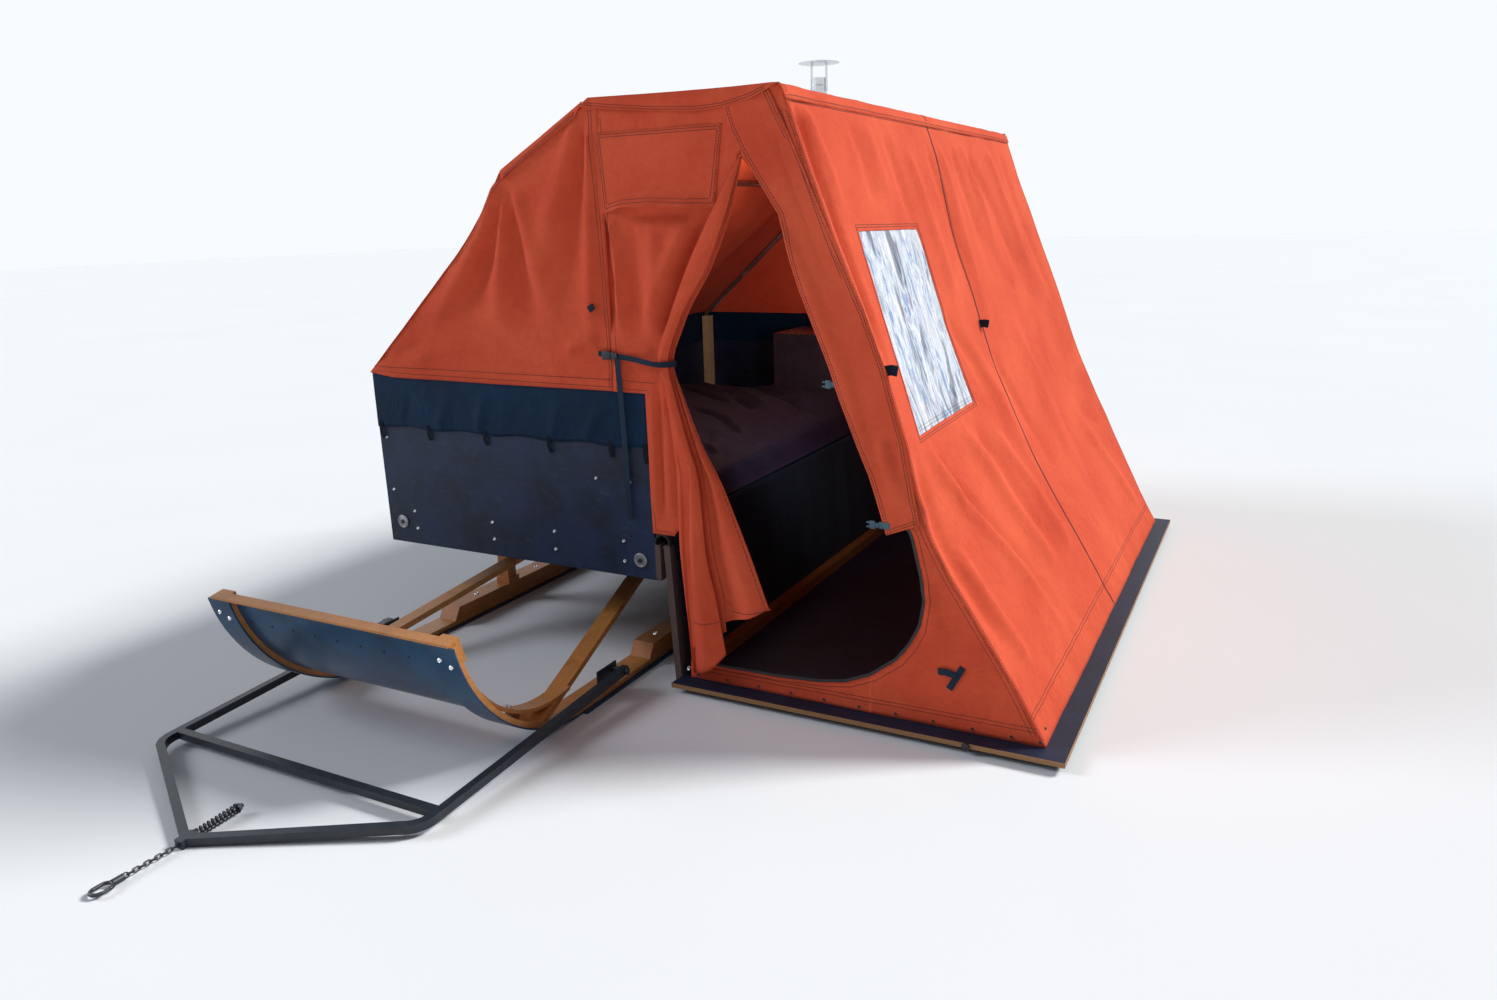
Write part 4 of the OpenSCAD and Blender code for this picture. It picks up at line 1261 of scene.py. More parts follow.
    def right_slope(self) -> Panel:
        """Makes the right slope with its window, seam and toggles, and returns it.

        Returns:
            The slope's panel.
        """
        foot = ROOF_END - RIDGE_S
        folds = creases([
            (-28.9, 19, 26, .1, .3, 52, 24, 60, 210, 76, 430, 66, 900),
            (15.3, 26, 39, .1, .5, 104, 40, 140, 240, 150, 420),
            (-10.2, 34, 51, .1, .5, 440, 60, 470, 205, 445, 380),
            (8.5, 34, 51, .1, .5, 560, 60, 600, 380),
            (-11.9, 34, 51, .1, .5, 735, 80, 765, 268, 790, 500),
            (13.6, 42, 68, .1, .5, 900, 120, 1000, 500, 1050, 900),
            (-13.6, 34, 51, .1, .5, 1165, 100, 1215, 293, 1235, 500, 1220, 760),
            (11.9, 37, 60, .1, .5, 1310, 80, 1340, 400, 1350, 900),
            (-13.6, 34, 60, .1, .5, 1490, 79, 1520, 237, 1580, 420, 1640, 700),
            (10.2, 34, 68, .1, .5, 1600, 60, 1720, 300, 1800, 700),
            (-15.3, 37, 68, .1, .5, 1690, 120, 1885, 324, 2010, 558, 2075, 838),
            (13.6, 42, 76, .1, .5, 2000, 60, 2140, 420, 2230, 900),
            (-10.2, 34, 51, .1, .4, 2270, 60, 2290, 320, 2360, 650, 2420, 980),
            (-17, 37, 60, .3, .4, 830, 700, 1010, 932, 1100, 1146),
            (17, 51, 76, .3, .4, 940, 760, 1150, 1080, 1200, 1400),
            (-13.6, 34, 51, .3, .4, 1262, 843, 1300, 989, 1420, 1286, 1400, 1500),
            (15.3, 68, 102, .3, .3, 1700, 700, 1760, 1272, 1700, 1717),
            (22.1, 39, 51, .15, .25, 205, 1070, 255, 1208, 340, 1335, 465, 1497, 595, 1739, 645,
             1840),
            (-18.7, 29, 42, .15, .3, 262, 1090, 305, 1200, 410, 1341, 560, 1566, 620, 1739, 690,
             1896),
            (8.5, 12, 15, .3, .5, 262, 1119, 280, 1250, 312, 1375),
            (20.4, 42, 60, .2, .3, 560, 1080, 700, 1240, 760, 1449, 820, 1630, 915, 1820),
            (-15.3, 37, 51, .2, .3, 720, 1090, 860, 1300, 900, 1500, 1000, 1750),
            (15.3, 42, 60, .2, .3, 900, 1150, 1040, 1400, 1130, 1800),
            (-13.6, 26, 34, .2, .3, 70, 1050, 64, 1375, 100, 1800),
            (13.6, 26, 37, .2, .3, 120, 1380, 150, 1600, 210, 1900),
            (13.6, 51, 51, .3, .2, 2080, 1250, 2240, 1700, 2340, 1960)])
        folds += creases([(2 if i % 2 else -2, 16, 26, .1, .8, 60 + 74 * i, foot - 40, 70 + 74 * i,
                           foot - 190) for i in range(33)])
        panel = SlopePanel(
            "tent_right_slope", [(0, 8), (HUT_LEN, 8), (HUT_LEN, foot), (0, foot)],
            slope_spot, holes=[self.window], folds=folds, step=13, ripple=2.4, seed=8.4)
        panel.make(("canvas_right_slope",))
        middle = Vector((510, 733))
        panel.sew("right_slope_stitching", (0, [(6, 34), (HUT_LEN - 6, 34)]),
                  (0, [(self.seam_y + 5, 16), (self.seam_y + 5, foot - 12)]),
                  (12, [(8, foot - 92), (HUT_LEN - 8, foot - 92)]),
                  *((0, [(u, 30), (u, foot - 16)]) for u in (12, HUT_LEN - 12)),
                  *((0, [tuple(middle + (Vector(p) - middle) * grow)
                         for p in (*self.window, self.window[0])]) for grow in (1.035, 1.06)))
        seam = [(self.seam_y - 4, 14), (self.seam_y - 4, foot - 4)]
        SHOP.piece("right_slope_seam", panel.tape(seam, 4, 1.2), WEBBING)
        self.window_film(panel)
        toggles = Shape()
        for u, v in ((24, 832), (self.seam_y - 16, 800)):
            self.toggle(toggles, panel, u, v)
        SHOP.piece("slope_toggles", toggles, WEBBING)
        stud = Shape()
        spot = (62, foot - 34)
        stud.screw(panel.place(*spot), panel.facing(*spot), STUD_W)
        SHOP.piece("slope_hem_stud", stud, FITTING)
        return panel

    def toggle(self, shape: Shape, panel: Panel, u: float, v: float) -> None:
        """Adds a short webbing tab that stands out of a seam.

        Args:
            shape: The shape that it is added to.
            panel: The seam's panel.
            u: The tab's u on the panel.
            v: Its v.
        """
        out = panel.facing(u, v)
        base = panel.place(u, v)
        down = (panel.place(u, v + 30) - base).normalized()
        path = [base - out * 2, base + out * 16 + down * 3, base + out * 32 + down * 12]
        shape.ribbon(path, down.cross(out), 30, 6)

    def window_film(self, slope: Panel) -> None:
        """Makes the crinkled window in the right slope.

        Args:
            slope: The right slope, whose folds it follows.
        """
        rng = np.random.default_rng(11)
        rows = []
        for _ in range(70):
            u, v = rng.uniform(200, 780), rng.uniform(424, 900)
            long, lean = rng.uniform(70, 220), rng.uniform(-18, 60)
            rows.append((rng.uniform(-6, 6), rng.uniform(7, 14), rng.uniform(8, 20), .4, .4,
                         u, v, u + lean * 0.5, v + long / 2, u + lean, v + long))
        grown = [(u + 9 * (1 if u > 500 else -1), v + 9 * (1 if v > 700 else -1))
                 for u, v in self.window]
        panel = SlopePanel("side_window_film", grown,
                           lambda u, v, lift: slope_spot(u, v, lift - 1.6),
                           folds=[*slope.folds, *creases(rows)], step=7, ripple=2.4, seed=8.4)
        panel.make(("side_window",), WINDOW, rests_on="tent_right_slope", thick=0.6)
        panel.sew("window_stitching", *((0, [(190, v), (828, v)]) for v in (1041, 1030)),
                  stitch=(0.72, 1.2, 0.6))

    def front(self, edge: Sequence[Point2]) -> None:
        """Makes the three front panels with their seams and hems.

        Args:
            edge: The right slope's front edge.
        """
        left = Panel(
            "front_left_panel",
            [*ROOF.left_edge(), (-118, 1894), (-118, 1003), (-600, 1003), (-1100, 1006)],
            lambda u, v, lift: front_spot(u, v, lift + over_skirt(v)),
            folds=creases([
                (30.2, 23, 46, .06, .5, -519, 1676, -610, 1500, -780, 1300, -1000, 1120),
                (-23.8, 20, 46, .06, .5, -512, 1660, -610, 1420, -760, 1180),
                (25.9, 20, 54, .06, .4, -503, 1650, -540, 1420, -590, 1130),
                (-21.6, 22, 54, .06, .4, -494, 1650, -470, 1400, -430, 1150),
                (17.3, 23, 61, .1, .5, -480, 1660, -400, 1400, -330, 1150),
                (19.4, 26, 61, .1, .5, -190, 1850, -330, 1556, -430, 1250),
                (-21.6, 20, 46, .1, .4, -174, 1850, -250, 1500, -299, 1200),
                (19.4, 15, 31, .1, .3, -160, 1850, -180, 1450, -205, 1100),
                (13, 13, 31, .15, .4, -1185, 1040, -1000, 1066, -845, 1100),
                (-9.6, 16, 41, .2, .4, -1110, 1050, -1000, 1120, -860, 1190),
                (13, 14, 23, .4, .2, -330, 1110, -240, 1160, -170, 1180)]),
            ripple=2.6, seed=1.2)
        left.make(("canvas_front_left",))
        middle = Panel(
            "front_middle_panel",
            [(-162, 1894), (392, 1894), (364, 1709), (210, 1340), (100, 1105), (108, 1000),
             (112, 566), (85, 534), (2, 534), (2, 1001), (-118, 1002), (-130, 1500)],
            lambda u, v, lift: front_spot(u, v, lift + 0.8 + over_skirt(v)),
            folds=creases([
                (-20.9, 12, 17, .2, .3, -122, 1570, -108, 1360, -118, 1166),
                (19.1, 15, 22, .15, .4, -98, 1569, -78, 1350, -86, 1140),
                (-13.9, 24, 34, .15, .4, -20, 1540, -24, 1350, -12, 1134),
                (13.9, 22, 26, .15, .4, 60, 1540, 50, 1350, 30, 1126),
                (-41.8, 22, 22, .3, .15, 262, 1572, 150, 1378, 84, 1172),
                (19.1, 26, 29, .15, .3, 190, 1540, 90, 1380, 20, 1180),
                (10.4, 15, 13, .3, .2, -100, 1190, 40, 1140),
                (-15.6, 22, 22, .3, .3, -60, 1548, 80, 1556, 220, 1552),
                (10.8, 9, 11, .2, .2, 28, 1050, 22, 560),
                (-9.6, 8, 10, .2, .2, 52, 1070, 48, 560),
                (13.2, 9, 11, .2, .2, 78, 1085, 80, 560)]), ripple=2.2, seed=2.3)
        middle.make(("canvas_front_middle",))
        right = Panel(
            "front_right_panel",
            [(380, 1894), *edge, (765, 36), *reversed(self.door_edge[:14])],
            lambda u, v, lift: front_spot(u, v, max(lift, -2.4)), folds=creases([
                (9, 24, 46, .15, .4, 946, 500, 965, 380, 1000, 260),
                (-8, 20, 40, .15, .4, 959, 540, 1000, 400, 1060, 290),
                (-6, 14, 22, .2, .2, 930, 640, 1000, 500, 1110, 300, 1250, 130),
                (-5, 14, 26, .15, .4, 1240, 130, 1130, 110, 1000, 120)]), ripple=1.6, seed=4.6)
        right.make(("canvas_front_right",))
        sill = Panel("door_sill_strip",
                     [(123, 36), (790, 36), (790, 178), (765, 165), *self.door_edge[14:]],
                     lambda u, v, lift: front_spot(u, v, lift - 0.3), step=10, ripple=1.6,
                     seed=4.6)
        sill.make()
        self.sleeve()
        self.front_sewing(left, middle, right, edge)

    def sleeve(self) -> None:
        """Makes the rolled sleeve over the front bow, sewn along its sagging seam."""
        slant = [(-514, 1676), *ROOF.left_edge(-1)[5:], (-178, 1876), (-200, 1849)]
        level = [(-150, 1901), (40, 1897), (300, 1893), (496, 1895), *self.casing]
        for name, outline, line in (
                ("front_bow_sleeve", slant, [(-200, 1855), (-500, 1684)]),
                ("front_ridge_sleeve", level, [(x, z + 6) for x, z in self.casing[1:]])):
            panel = Panel(
                name, outline, lambda u, v, lift: front_spot(u, v, 3 + lift), step=8,
                ripple=1.2, seed=5.5, folds=creases([
                    (9, 20, 20, .02, .02, -518, 1688, -340, 1782, -168, 1882, 40, 1876, 230, 1868,
                     400, 1880, 490, 1890),
                    (5, 16, 16, .3, .3, -150, 1860, -172, 1890),
                    (4, 14, 14, .3, .3, 395, 1850, 440, 1885),
                    (-4, 12, 12, .3, .3, -120, 1870, -150, 1895)]))
            panel.make(rests_on="front_middle_panel")
            panel.sew(f"{name}_stitching", (0, line), (0, [(x + 1, z + 7) for x, z in line]))

    def front_sewing(self, left: Panel, middle: Panel, right: Panel,
                     edge: Sequence[Point2]) -> None:
        """Sews the front panels and binds the door's edge.

        Args:
            left: The left panel.
            middle: The middle panel.
            right: The right panel.
            edge: The right slope's front edge.
        """
        left.sew("front_left_stitching", (0, [(-1188, 1046), (-1000, 1044), (-124, 1040)]),
                 (0, [(-1168, 1028), (-1000, 1022), (-124, 1016)]), (0, ROOF.left_edge(15)[1:6]),
                 (10, [(-150, 1868), (-140, 1500), (-130, 1010)]))
        middle.sew("front_middle_stitching", (0, [(-112, 1040), (40, 1036)]),
                   (0, [(-112, 1014), (14, 1011), (14, 546), (76, 546)]),
                   (0, [(-112, 1840), (-104, 1500), (-104, 1046)]))
        door_edge = self.door_edge[6:]
        right.sew("front_right_stitching",
                  *((0, [(x - inset, z) for x, z in edge[1:-1]]) for inset in (9, 24)),
                  (12, [(132, 74), (1280, 84)]),
                  (0, [(x + (20 if x > 500 else 0), z - (16 if z < 400 else 0))
                       for x, z in door_edge]))
        binding = Shape()
        binding.sweep([(-4, -2.5), (4, -2.5), (5, 0), (4, 2), (-4, 2)],
                      [right.place(x, z, 0.6) for x, z in along_path(door_edge, 16)], FRONT)
        SHOP.piece("door_edge_binding", binding, RUBBER)
        SHOP.piece("front_hem_studs", right.studs([(x, 50) for x in self.studs], FRONT), FITTING)
        webs = Shape()
        for panel, spots, thick in (
                (right, ((983, 217, 1), (1010, 222, 9), (1040, 212, 2)), 3),
                (right, ((1057, 242, 1), (1017, 166, 1)), 2.4),
                (left, ((-190, 1264, 1), (-170, 1276, 8)), 3)):
            webs.ribbon([panel.place(*spot) for spot in spots], FRONT, 20, thick)
        SHOP.piece("front_webbing_tabs", webs, WEBBING)

    def rear(self, edge: Sequence[Point2]) -> None:
        """Makes the rear panel, closed and plain, with its seams.

        Args:
            edge: The right slope's rear edge.
        """
        outline = [*ROOF.left_edge(), *edge, (84, 36), (58, 529), (2, 529), (2, 1003)]
        panel = Panel(
            "rear_panel", outline,
            lambda u, v, lift: rear_spot(
                u, v, max(lift, -2.2) + (6 if v < 1050 and u < 4 else 0)),
            folds=creases([
                (10, 30, 60, .15, .4, -519, 1640, -800, 1300, -1000, 1130),
                (-9, 30, 60, .15, .4, -508, 1640, -620, 1300, -700, 1090),
                (8, 30, 60, .15, .4, -170, 1850, -260, 1500, -330, 1120),
                (-9, 30, 60, .15, .4, -150, 1850, -60, 1500, 0, 1100),
                (10, 30, 80, .15, .4, 480, 1850, 400, 1300, 360, 700),
                (-10, 30, 80, .15, .4, 500, 1840, 700, 1200, 820, 500),
                (8, 26, 60, .15, .4, 1280, 80, 1000, 300, 800, 420),
                (-8, 26, 60, .15, .4, 110, 60, 260, 400, 300, 700)]), ripple=2.4, seed=6.6)
        panel.make(("canvas_rear",))
        panel.sew("rear_stitching", (12, [(-1150, 1034), (16, 1030)]),
                  (0, [*ROOF.left_edge(15)[1:], *((x - 12, z) for x, z in edge[1:-1])]),
                  (10, [(-124, 1868), (-124, 1010)]), (10, [(360, 1868), (360, 70)]),
                  (12, [(116, 80), (1270, 80)]))
        SHOP.piece("rear_hem_studs",
                   panel.studs([(150 + 113 * i, 54) for i in range(11)], REAR), FITTING)

    def flaps(self) -> None:
        """Makes the vent flap and the storm flap beside the door."""
        vent = Panel(
            "vent_flap_cloth",
            [(-131, 1798), (310, 1798), (276, 1564), (167, 1571), (64, 1579), (-42, 1576),
             (-116, 1560)],
            lambda u, v, lift: front_spot(u, v, 4 + lift), folds=creases([
                (38, 34, 34, .25, .25, -112, 1560, 60, 1566, 272, 1562),
                (5, 34, 44, .3, .3, -100, 1610, 100, 1700, 290, 1790),
                (-5, 24, 44, .15, .4, -70, 1585, 60, 1640, 180, 1690)]),
            step=9, ripple=1.4, seed=5)
        vent.make(("vent_flap",), held=Held.HUNG, rests_on="front_middle_panel")
        vent.sew("vent_flap_stitching",
                 (0, [(-126, 1792), (304, 1792), (271, 1580), (167, 1583), (64, 1590),
                      (-42, 1587), (-112, 1573), (-126, 1792)]),
                 (0, [(-118, 1784), (295, 1784), (263, 1592), (167, 1594), (64, 1601),
                      (-42, 1598), (-104, 1586), (-118, 1784)]))
        storm = Panel(
            "storm_flap_cloth", [*reversed(self.storm_inner), *self.storm_outer],
            lambda u, v, lift: front_spot(u, v, 5 + lift), folds=creases([
                (12, 22, 27, .3, .2, 390, 1690, 528, 1440, 690, 1060, 800, 700),
                (-9, 23, 31, .15, .4, 480, 1800, 560, 1600, 700, 1260),
                (10.5, 18, 23, .15, .4, 790, 920, 850, 760, 900, 690),
                (-9, 16, 20, .15, .4, 830, 920, 850, 780)]),
            step=10, ripple=1.8, seed=7.1)
        storm.make(("storm_flap",), held=Held.HUNG, rests_on="front_right_panel")
        storm.sew("storm_flap_stitching", (8, [(x + 11, z) for x, z in self.storm_inner]),
                  (8, [(x - 12, z - 4) for x, z in self.storm_outer]),
                  (8, [(828, 636), (908, 672)]))
        clips = Shape()
        for x, z in self.buckles:
            for left, right, back, front, low, high, bevel in (
                    (-40, -22, -12, -5, -12, 12, 1.5), (-22, -12, -11, -6, -7, 7, 1),
                    (-50, -40, -11, -6, -9, -4, 1), (-50, -40, -11, -6, 4, 9, 1),
                    (-12, 22, -9, -6.5, -10, 10, 0.5)):
                clips.box((x + left, back, z + low), (x + right, front, z + high), bevel)
        SHOP.piece("storm_flap_buckles", clips, CLIP)


def eased(knots: np.ndarray, values: np.ndarray, fine: np.ndarray) -> np.ndarray:
    """Draws values smoothly through knots, without overshoot.

    Args:
        knots: The places of the values.
        values: The values.
        fine: The places that are asked for.

    Returns:
        The value at each place.
    """
    slope = np.diff(values) / np.diff(knots)
    lean = np.zeros(len(values))
    for i in range(1, len(values) - 1):
        if slope[i - 1] * slope[i] > 0:
            lean[i] = 2 * slope[i - 1] * slope[i] / (slope[i - 1] + slope[i])
    lean[0], lean[-1] = slope[0], slope[-1]
    part = np.clip(np.searchsorted(knots, fine, side="right") - 1, 0, len(knots) - 2)
    size = knots[part + 1] - knots[part]
    t = (fine - knots[part]) / size
    return ((2 * t**3 - 3 * t**2 + 1) * values[part] + (t**3 - 2 * t**2 + t) * size * lean[part]
            + (3 * t**2 - 2 * t**3) * values[part + 1] + (t**3 - t**2) * size * lean[part + 1])


@dataclass
class Door:
    """The opened door, rolled above its tie and hanging in two lobes below it.

    Attributes:
        size: Width and height of the opening that its cloth closes, in metres.
        area: The cloth's area in square metres; not used.
        cells: Cells along each side of its mesh.
        rows: Heights of the places along every rib, from the top.
        ribs: Each rib's places sideways, how far they stand out, and its last height.
        strap: The strap's places around the roll.
        strap_up: The direction that the strap faces at each of them.
        strap_end: The places of the strap's loose end.
        buckle: The lowest and highest corner and the bevel of each part of the buckle.
    """

    size: Point2 = (0.85, 1.62)
    area: float = 0.93
    cells: int = 150
    rows: tuple[float, ...] = (1704, 1564, 1400, 1250, 1106, 1000, 850, 740, 510, 330)
    ribs: tuple[tuple[tuple[float, ...], tuple[float, ...], float], ...] = (
        ((366, 281, 190, 121, 66, 88, 100, 105, 105, 119, 137),
         (6, 12, 16, 20, 12, 8, 8, 8, 8, 8, 8), 64),
        ((367, 284, 195, 124, 69, 94, 114, 127, 122, 129, 142),
         (7, 20, 27, 30, 26, 24, 24, 24, 24, 22, 20), 62),
        ((367, 288, 202, 129, 74, 100, 128, 150, 139, 139, 148),
         (8, 27, 35, 39, 34, 20, 14, 12, 12, 12, 12), 62),
        ((369, 308, 230, 146, 92, 114, 150, 182, 180, 195, 219),
         (9, 31, 39, 43, 46, 44, 44, 46, 46, 46, 46), 95),
        ((372, 331, 261, 166, 113, 133, 172, 203, 219, 253, 283),
         (8, 25, 33, 37, 38, 36, 36, 36, 36, 36, 38), 162),
        ((366, 282, 192, 122, 67, 92, 106, 112, 112, 122, 140),
         (7, 21, 27, 29, 30, 26, 20, 16, 15, 15, 16), 150),
        ((373, 333, 264, 170, 116, 136, 178, 206, 230, 266, 272),
         (6, 18, 23, 25, 26, 20, 14, 12, 12, 12, 13), 232),
        ((367, 284, 194, 124, 69, 94, 108, 114, 114, 126, 146),
         (5, 14, 18, 19, 20, 15, 8, 5, 4, 4, 5), 200),
        ((373, 334, 262, 168, 114, 138, 178, 212, 240, 278, 282),
         (4, 10, 13, 14, 14, 11, 8, 7, 7, 7, 8), 268),
        ((372, 328, 256, 164, 110, 140, 192, 244, 310, 372, 372),
         (4, 9, 12, 13, 14, 18, 24, 28, 32, 34, 34), 300),
        ((374, 337, 267, 172, 117, 147, 207, 268, 365, 432, 436),
         (3, 6, 8, 9, 10, 8, 8, 10, 12, 12, 12), 338))
    strap: tuple[Point3, ...] = (
        (-170, -9, 1124), (-150, -10, 1122), (-90, -14, 1117), (-20, -20, 1110), (34, -42, 1106),
        (68, -57, 1104), (97, -58, 1103), (119, -46, 1103), (123, -10, 1102))
    strap_up: tuple[Point3, ...] = (
        FRONT, FRONT, FRONT, FRONT, (-0.1, -1, 0), (0.1, -1, 0), (0.6, -0.8, 0), (1, -0.3, 0),
        (1, 0, 0))
    strap_end: tuple[Point3, ...] = (
        (-92, -18, 1110), (-89, -20, 1060), (-87, -18, 980), (-86, -14, 860), (-85, -12, 720),
        (-84, -10, 574))
    buckle: tuple[tuple[Point3, Point3, float], ...] = (
        ((-150, -22, 1106), (-118, -12, 1134), 2.5), ((-118, -20, 1109), (-104, -12, 1131), 2),
        ((-104, -21, 1112), (-92, -12, 1128), 1.5))

    def surface(self) -> np.ndarray:
        """Returns the cloth's places, by cell across the ribs and by cell down them.

        Returns:
            The places, by cell across, cell down and axis.
        """
        down = np.linspace(0, 1, len(self.rows) + 1)
        fine = np.linspace(0, 1, self.cells + 1)
        grid = np.zeros((len(self.ribs), len(fine), 3))
        for i, (xs, ys, low) in enumerate(self.ribs):
            for axis, values in enumerate((xs, [-3.5 - y for y in ys], (*self.rows, low))):
                grid[i, :, axis] = eased(down, np.array(values, float), fine)
        side = np.linspace(0, 1, len(self.ribs))
        surface = np.zeros((len(fine), len(fine), 3))
        for j in range(len(fine)):
            for axis in range(3):
                surface[:, j, axis] = eased(side, grid[:, j, axis], fine)
        return surface

    def build(self) -> None:
        """Makes the cloth, its stitching and the strap that ties it."""
        surface = self.surface()
        self.cloth(surface)
        self.stitching(surface)
        self.tie()

    def cloth(self, surface: np.ndarray) -> None:
        """Makes the cloth over its places, a little uneven.

        Args:
            surface: The places.
        """
        shape = Shape()
        cells = self.cells
        made = bmesh.ops.create_grid(shape.bm, x_segments=cells, y_segments=cells, size=0.5)
        layer = shape.bm.loops.layers.uv.new("cut")
        for face in shape.bm.faces:
            for loop in face.loops:
                loop[layer].uv = ((loop.vert.co.x + 0.5) * self.size[0],
                                  (0.5 - loop.vert.co.y) * self.size[1])
        for vert in made["verts"]:
            i, j = round((vert.co.x + 0.5) * cells), round((0.5 - vert.co.y) * cells)
            spot = Vector(surface[i, j])
            spot.y -= 1.6 * noise.fractal(Vector((spot.x / 50, spot.z / 140, 9)), 1, 2, 2)
            vert.co = spot
        shape.bm.normal_update()
        if sum(f.normal.y for f in shape.bm.faces) > 0:
            bmesh.ops.reverse_faces(shape.bm, faces=list(shape.bm.faces))
        piece = SHOP.piece("door_cloth", shape, CANVAS, smooth=75, sheet=True)
        add_solidify(piece)
        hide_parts("door_flap")

    def stitching(self, surface: np.ndarray) -> None:
        """Sews the cloth's two sides and its foot.

        Args:
            surface: The cloth's places.
        """
        shape = Shape()
        last = self.cells
        for spots in (surface[8:62:2, last - 10], surface[122:last - 2:2, last - 9],
                      surface[last - 3, 60:last]):
            places = [Vector(spot) + Vector(FRONT) * 1.6 for spot in spots]
            stitch_run(shape, places, [FRONT] * len(places))
        SHOP.piece("door_stitching", shape, THREAD, smooth=None)

    def tie(self) -> None:
        """Makes the strap that ties the door back, with its buckle and loose end."""
        strap = Shape()
        strap.ribbon(self.strap, self.strap_up, 17, 2)
        strap.ribbon(self.strap_end, FRONT, 20, 1.8)
        SHOP.piece("door_tie_strap", strap, WEBBING)
        buckle = Shape()
        for low, high, bevel in self.buckle:
            buckle.box(low, high, bevel)
        SHOP.piece("door_tie_buckle", buckle, FITTING)


@dataclass
class Skirt:
    """The dark cloth skirt around the top of the box, with its loops.

    Attributes:
        top: Height of its top edge.
        low: Height of its bottom edge.
        scallop: How far its bottom edge rises and falls.
        bay: The width of one rise and fall.
        loops: Where its loops hang at the front and rear, and how far below it.
        loop_w: The loops' width.
        side_loops: How many loops hang on the left.
    """

    top: float = 1021.0
    low: float = 824.0
    scallop: float = 9.0
    bay: float = 262.0
    loops: tuple[Point2, ...] = ((-1192, 52), (-955, 44), (-688, 44), (-405, 48), (-150, 44),
                                 (-14, 56))
    loop_w: float = 14.0
    side_loops: int = 7

    def spot(self, u: float, v: float, lift: float) -> Vector:
        """Returns a place on the skirt: u runs from the front right round to the rear.

        Args:
            u: Its distance around the box.
            v: Its height.
            lift: How far it stands out.

        Returns:
            The place.
        """
        share = (self.top - v) / (self.top - self.low)
        out = 3.4 + lift + 3 * share
        v -= self.scallop * share * math.sin(math.pi * u / self.bay) ** 2
        side_end = BOX_W + HUT_LEN + 8
        if u < BOX_W:
            return Vector((2 - u, -out, v))
        if u < side_end:
            return Vector((-BOX_W - out, u - BOX_W - 4, v))
        return Vector((u - side_end - BOX_W, HUT_LEN + out, v))

    def build(self) -> None:
        """Makes the skirt with its folds, then its loops and screws."""
        length = 2 * BOX_W + HUT_LEN + 10
        rng = np.random.default_rng(5)
        folds = []
        for i in range(30):
            u = 90 + (length - 180) * i / 29 + rng.uniform(-20, 20)
            if min(abs(u - BOX_W), abs(u - BOX_W - HUT_LEN - 8)) < 70:
                continue
            lean = -90 if i % 2 else -60
            folds.append(Fold(((u, self.low + 4), (u + lean, self.top - 30)),
                              rng.uniform(3.5, 6) * (1 if i % 3 else -0.6), (14, 26), (0.1, 0.5)))
        panel = Panel("skirt_cloth_band", [(0, self.low), (length, self.low),
                                           (length, self.top), (0, self.top)],
                      self.spot, folds=folds, step=13, ripple=1, seed=12)
        panel.make(("skirt",), SKIRT, Held.HUNG, "front_left_panel")
        self.hang_loops()

    def hang_loops(self) -> None:
        """Hangs the webbing loops around the box, with screws below those on the left."""
        loops = Shape()
        screws = Shape()
        top = self.low + 12
        for x, long in self.loops:
            middle, end = self.low - long * 0.5, self.low - long
            for path, way in ((((x, -6, top), (x + 2, -9, middle), (x + 6, -4, end)), FRONT),
                              (((x, HUT_LEN + 6, top), (x, HUT_LEN + 9, middle),
                                (x, HUT_LEN + 4, end)), REAR)):
                loops.ribbon(path, way, self.loop_w, 2)
        for y in np.linspace(60, HUT_LEN - 60, self.side_loops):
            loops.ribbon([(-BOX_W - 6, y, top), (-BOX_W - 9, y, self.low - 24),
                          (-BOX_W - 4, y, self.low - 48)], LEFT, self.loop_w, 2)
            screws.screw((-BOX_W, y, self.low - 62), LEFT, 11)
        SHOP.piece("skirt_loops", loops, LINER)
        SHOP.piece("left_wall_screws", screws, BRIGHT)


@dataclass
class Box:
    """Fastenings on the plywood box and the fold-out floor.

    Attributes:
        screws: The front wall's screws, which the rear wall has too.
        discs: The front wall's corner discs, which the rear wall has too.
        stop: The stop on the floor's front edge, from left and ground.
    """

    screws: tuple[Point2, ...] = (
        (-1177, 775), (-1173, 572), (-1077, 495), (-1071, 428), (-697, 493), (-695, 429),
        (-416, 491), (-416, 425), (-221, 701), (-84, 698), (-123, 490), (-124, 418))
    discs: tuple[Point2, ...] = ((-1141, 448), (-58, 430))
    stop: Point2 = (1090, 26)

    def build(self) -> None:
        """Makes the screws, the discs with their bolts, and the stop."""
        screws = Shape()
        for x, z in self.screws:
            screws.screw((x, 0, z), FRONT, 12)
            screws.screw((x, HUT_LEN, z), REAR, 12)
        screws.screw((112, 0, 66), FRONT, 16)
        SHOP.piece("box_screws", screws, BRIGHT)
        self.make_discs()
        knob = Shape()
        x, z = self.stop
        for start, end, width, sides, bevel in ((68, 79, 24, 20, 2), (79, 81.5, 11, 16, 1)):
            knob.rod((x, -start, z), (x, -end, z), width, sides, bevel)
        SHOP.piece("floor_edge_stop", knob, FITTING)

    def make_discs(self) -> None:
        """Makes the round corner discs with their rims and bolts."""
        discs = Shape()
        bolts = Shape()
        for x, z in self.discs:
            for y, out in ((0, -1), (HUT_LEN, 1)):
                discs.rod((x, y, z), (x, y + out * 5, z), 52, 32, bevel=1.6)
                discs.ring((x, y + out * 5, z), REAR, 21, 3, 32)
                bolts.rod((x, y + out * 4, z), (x, y + out * 9, z), 18, 6, bevel=1)
        SHOP.piece("corner_discs", discs, PLAIN_STEEL)
        SHOP.piece("corner_disc_bolts", bolts, BLACK_STEEL)


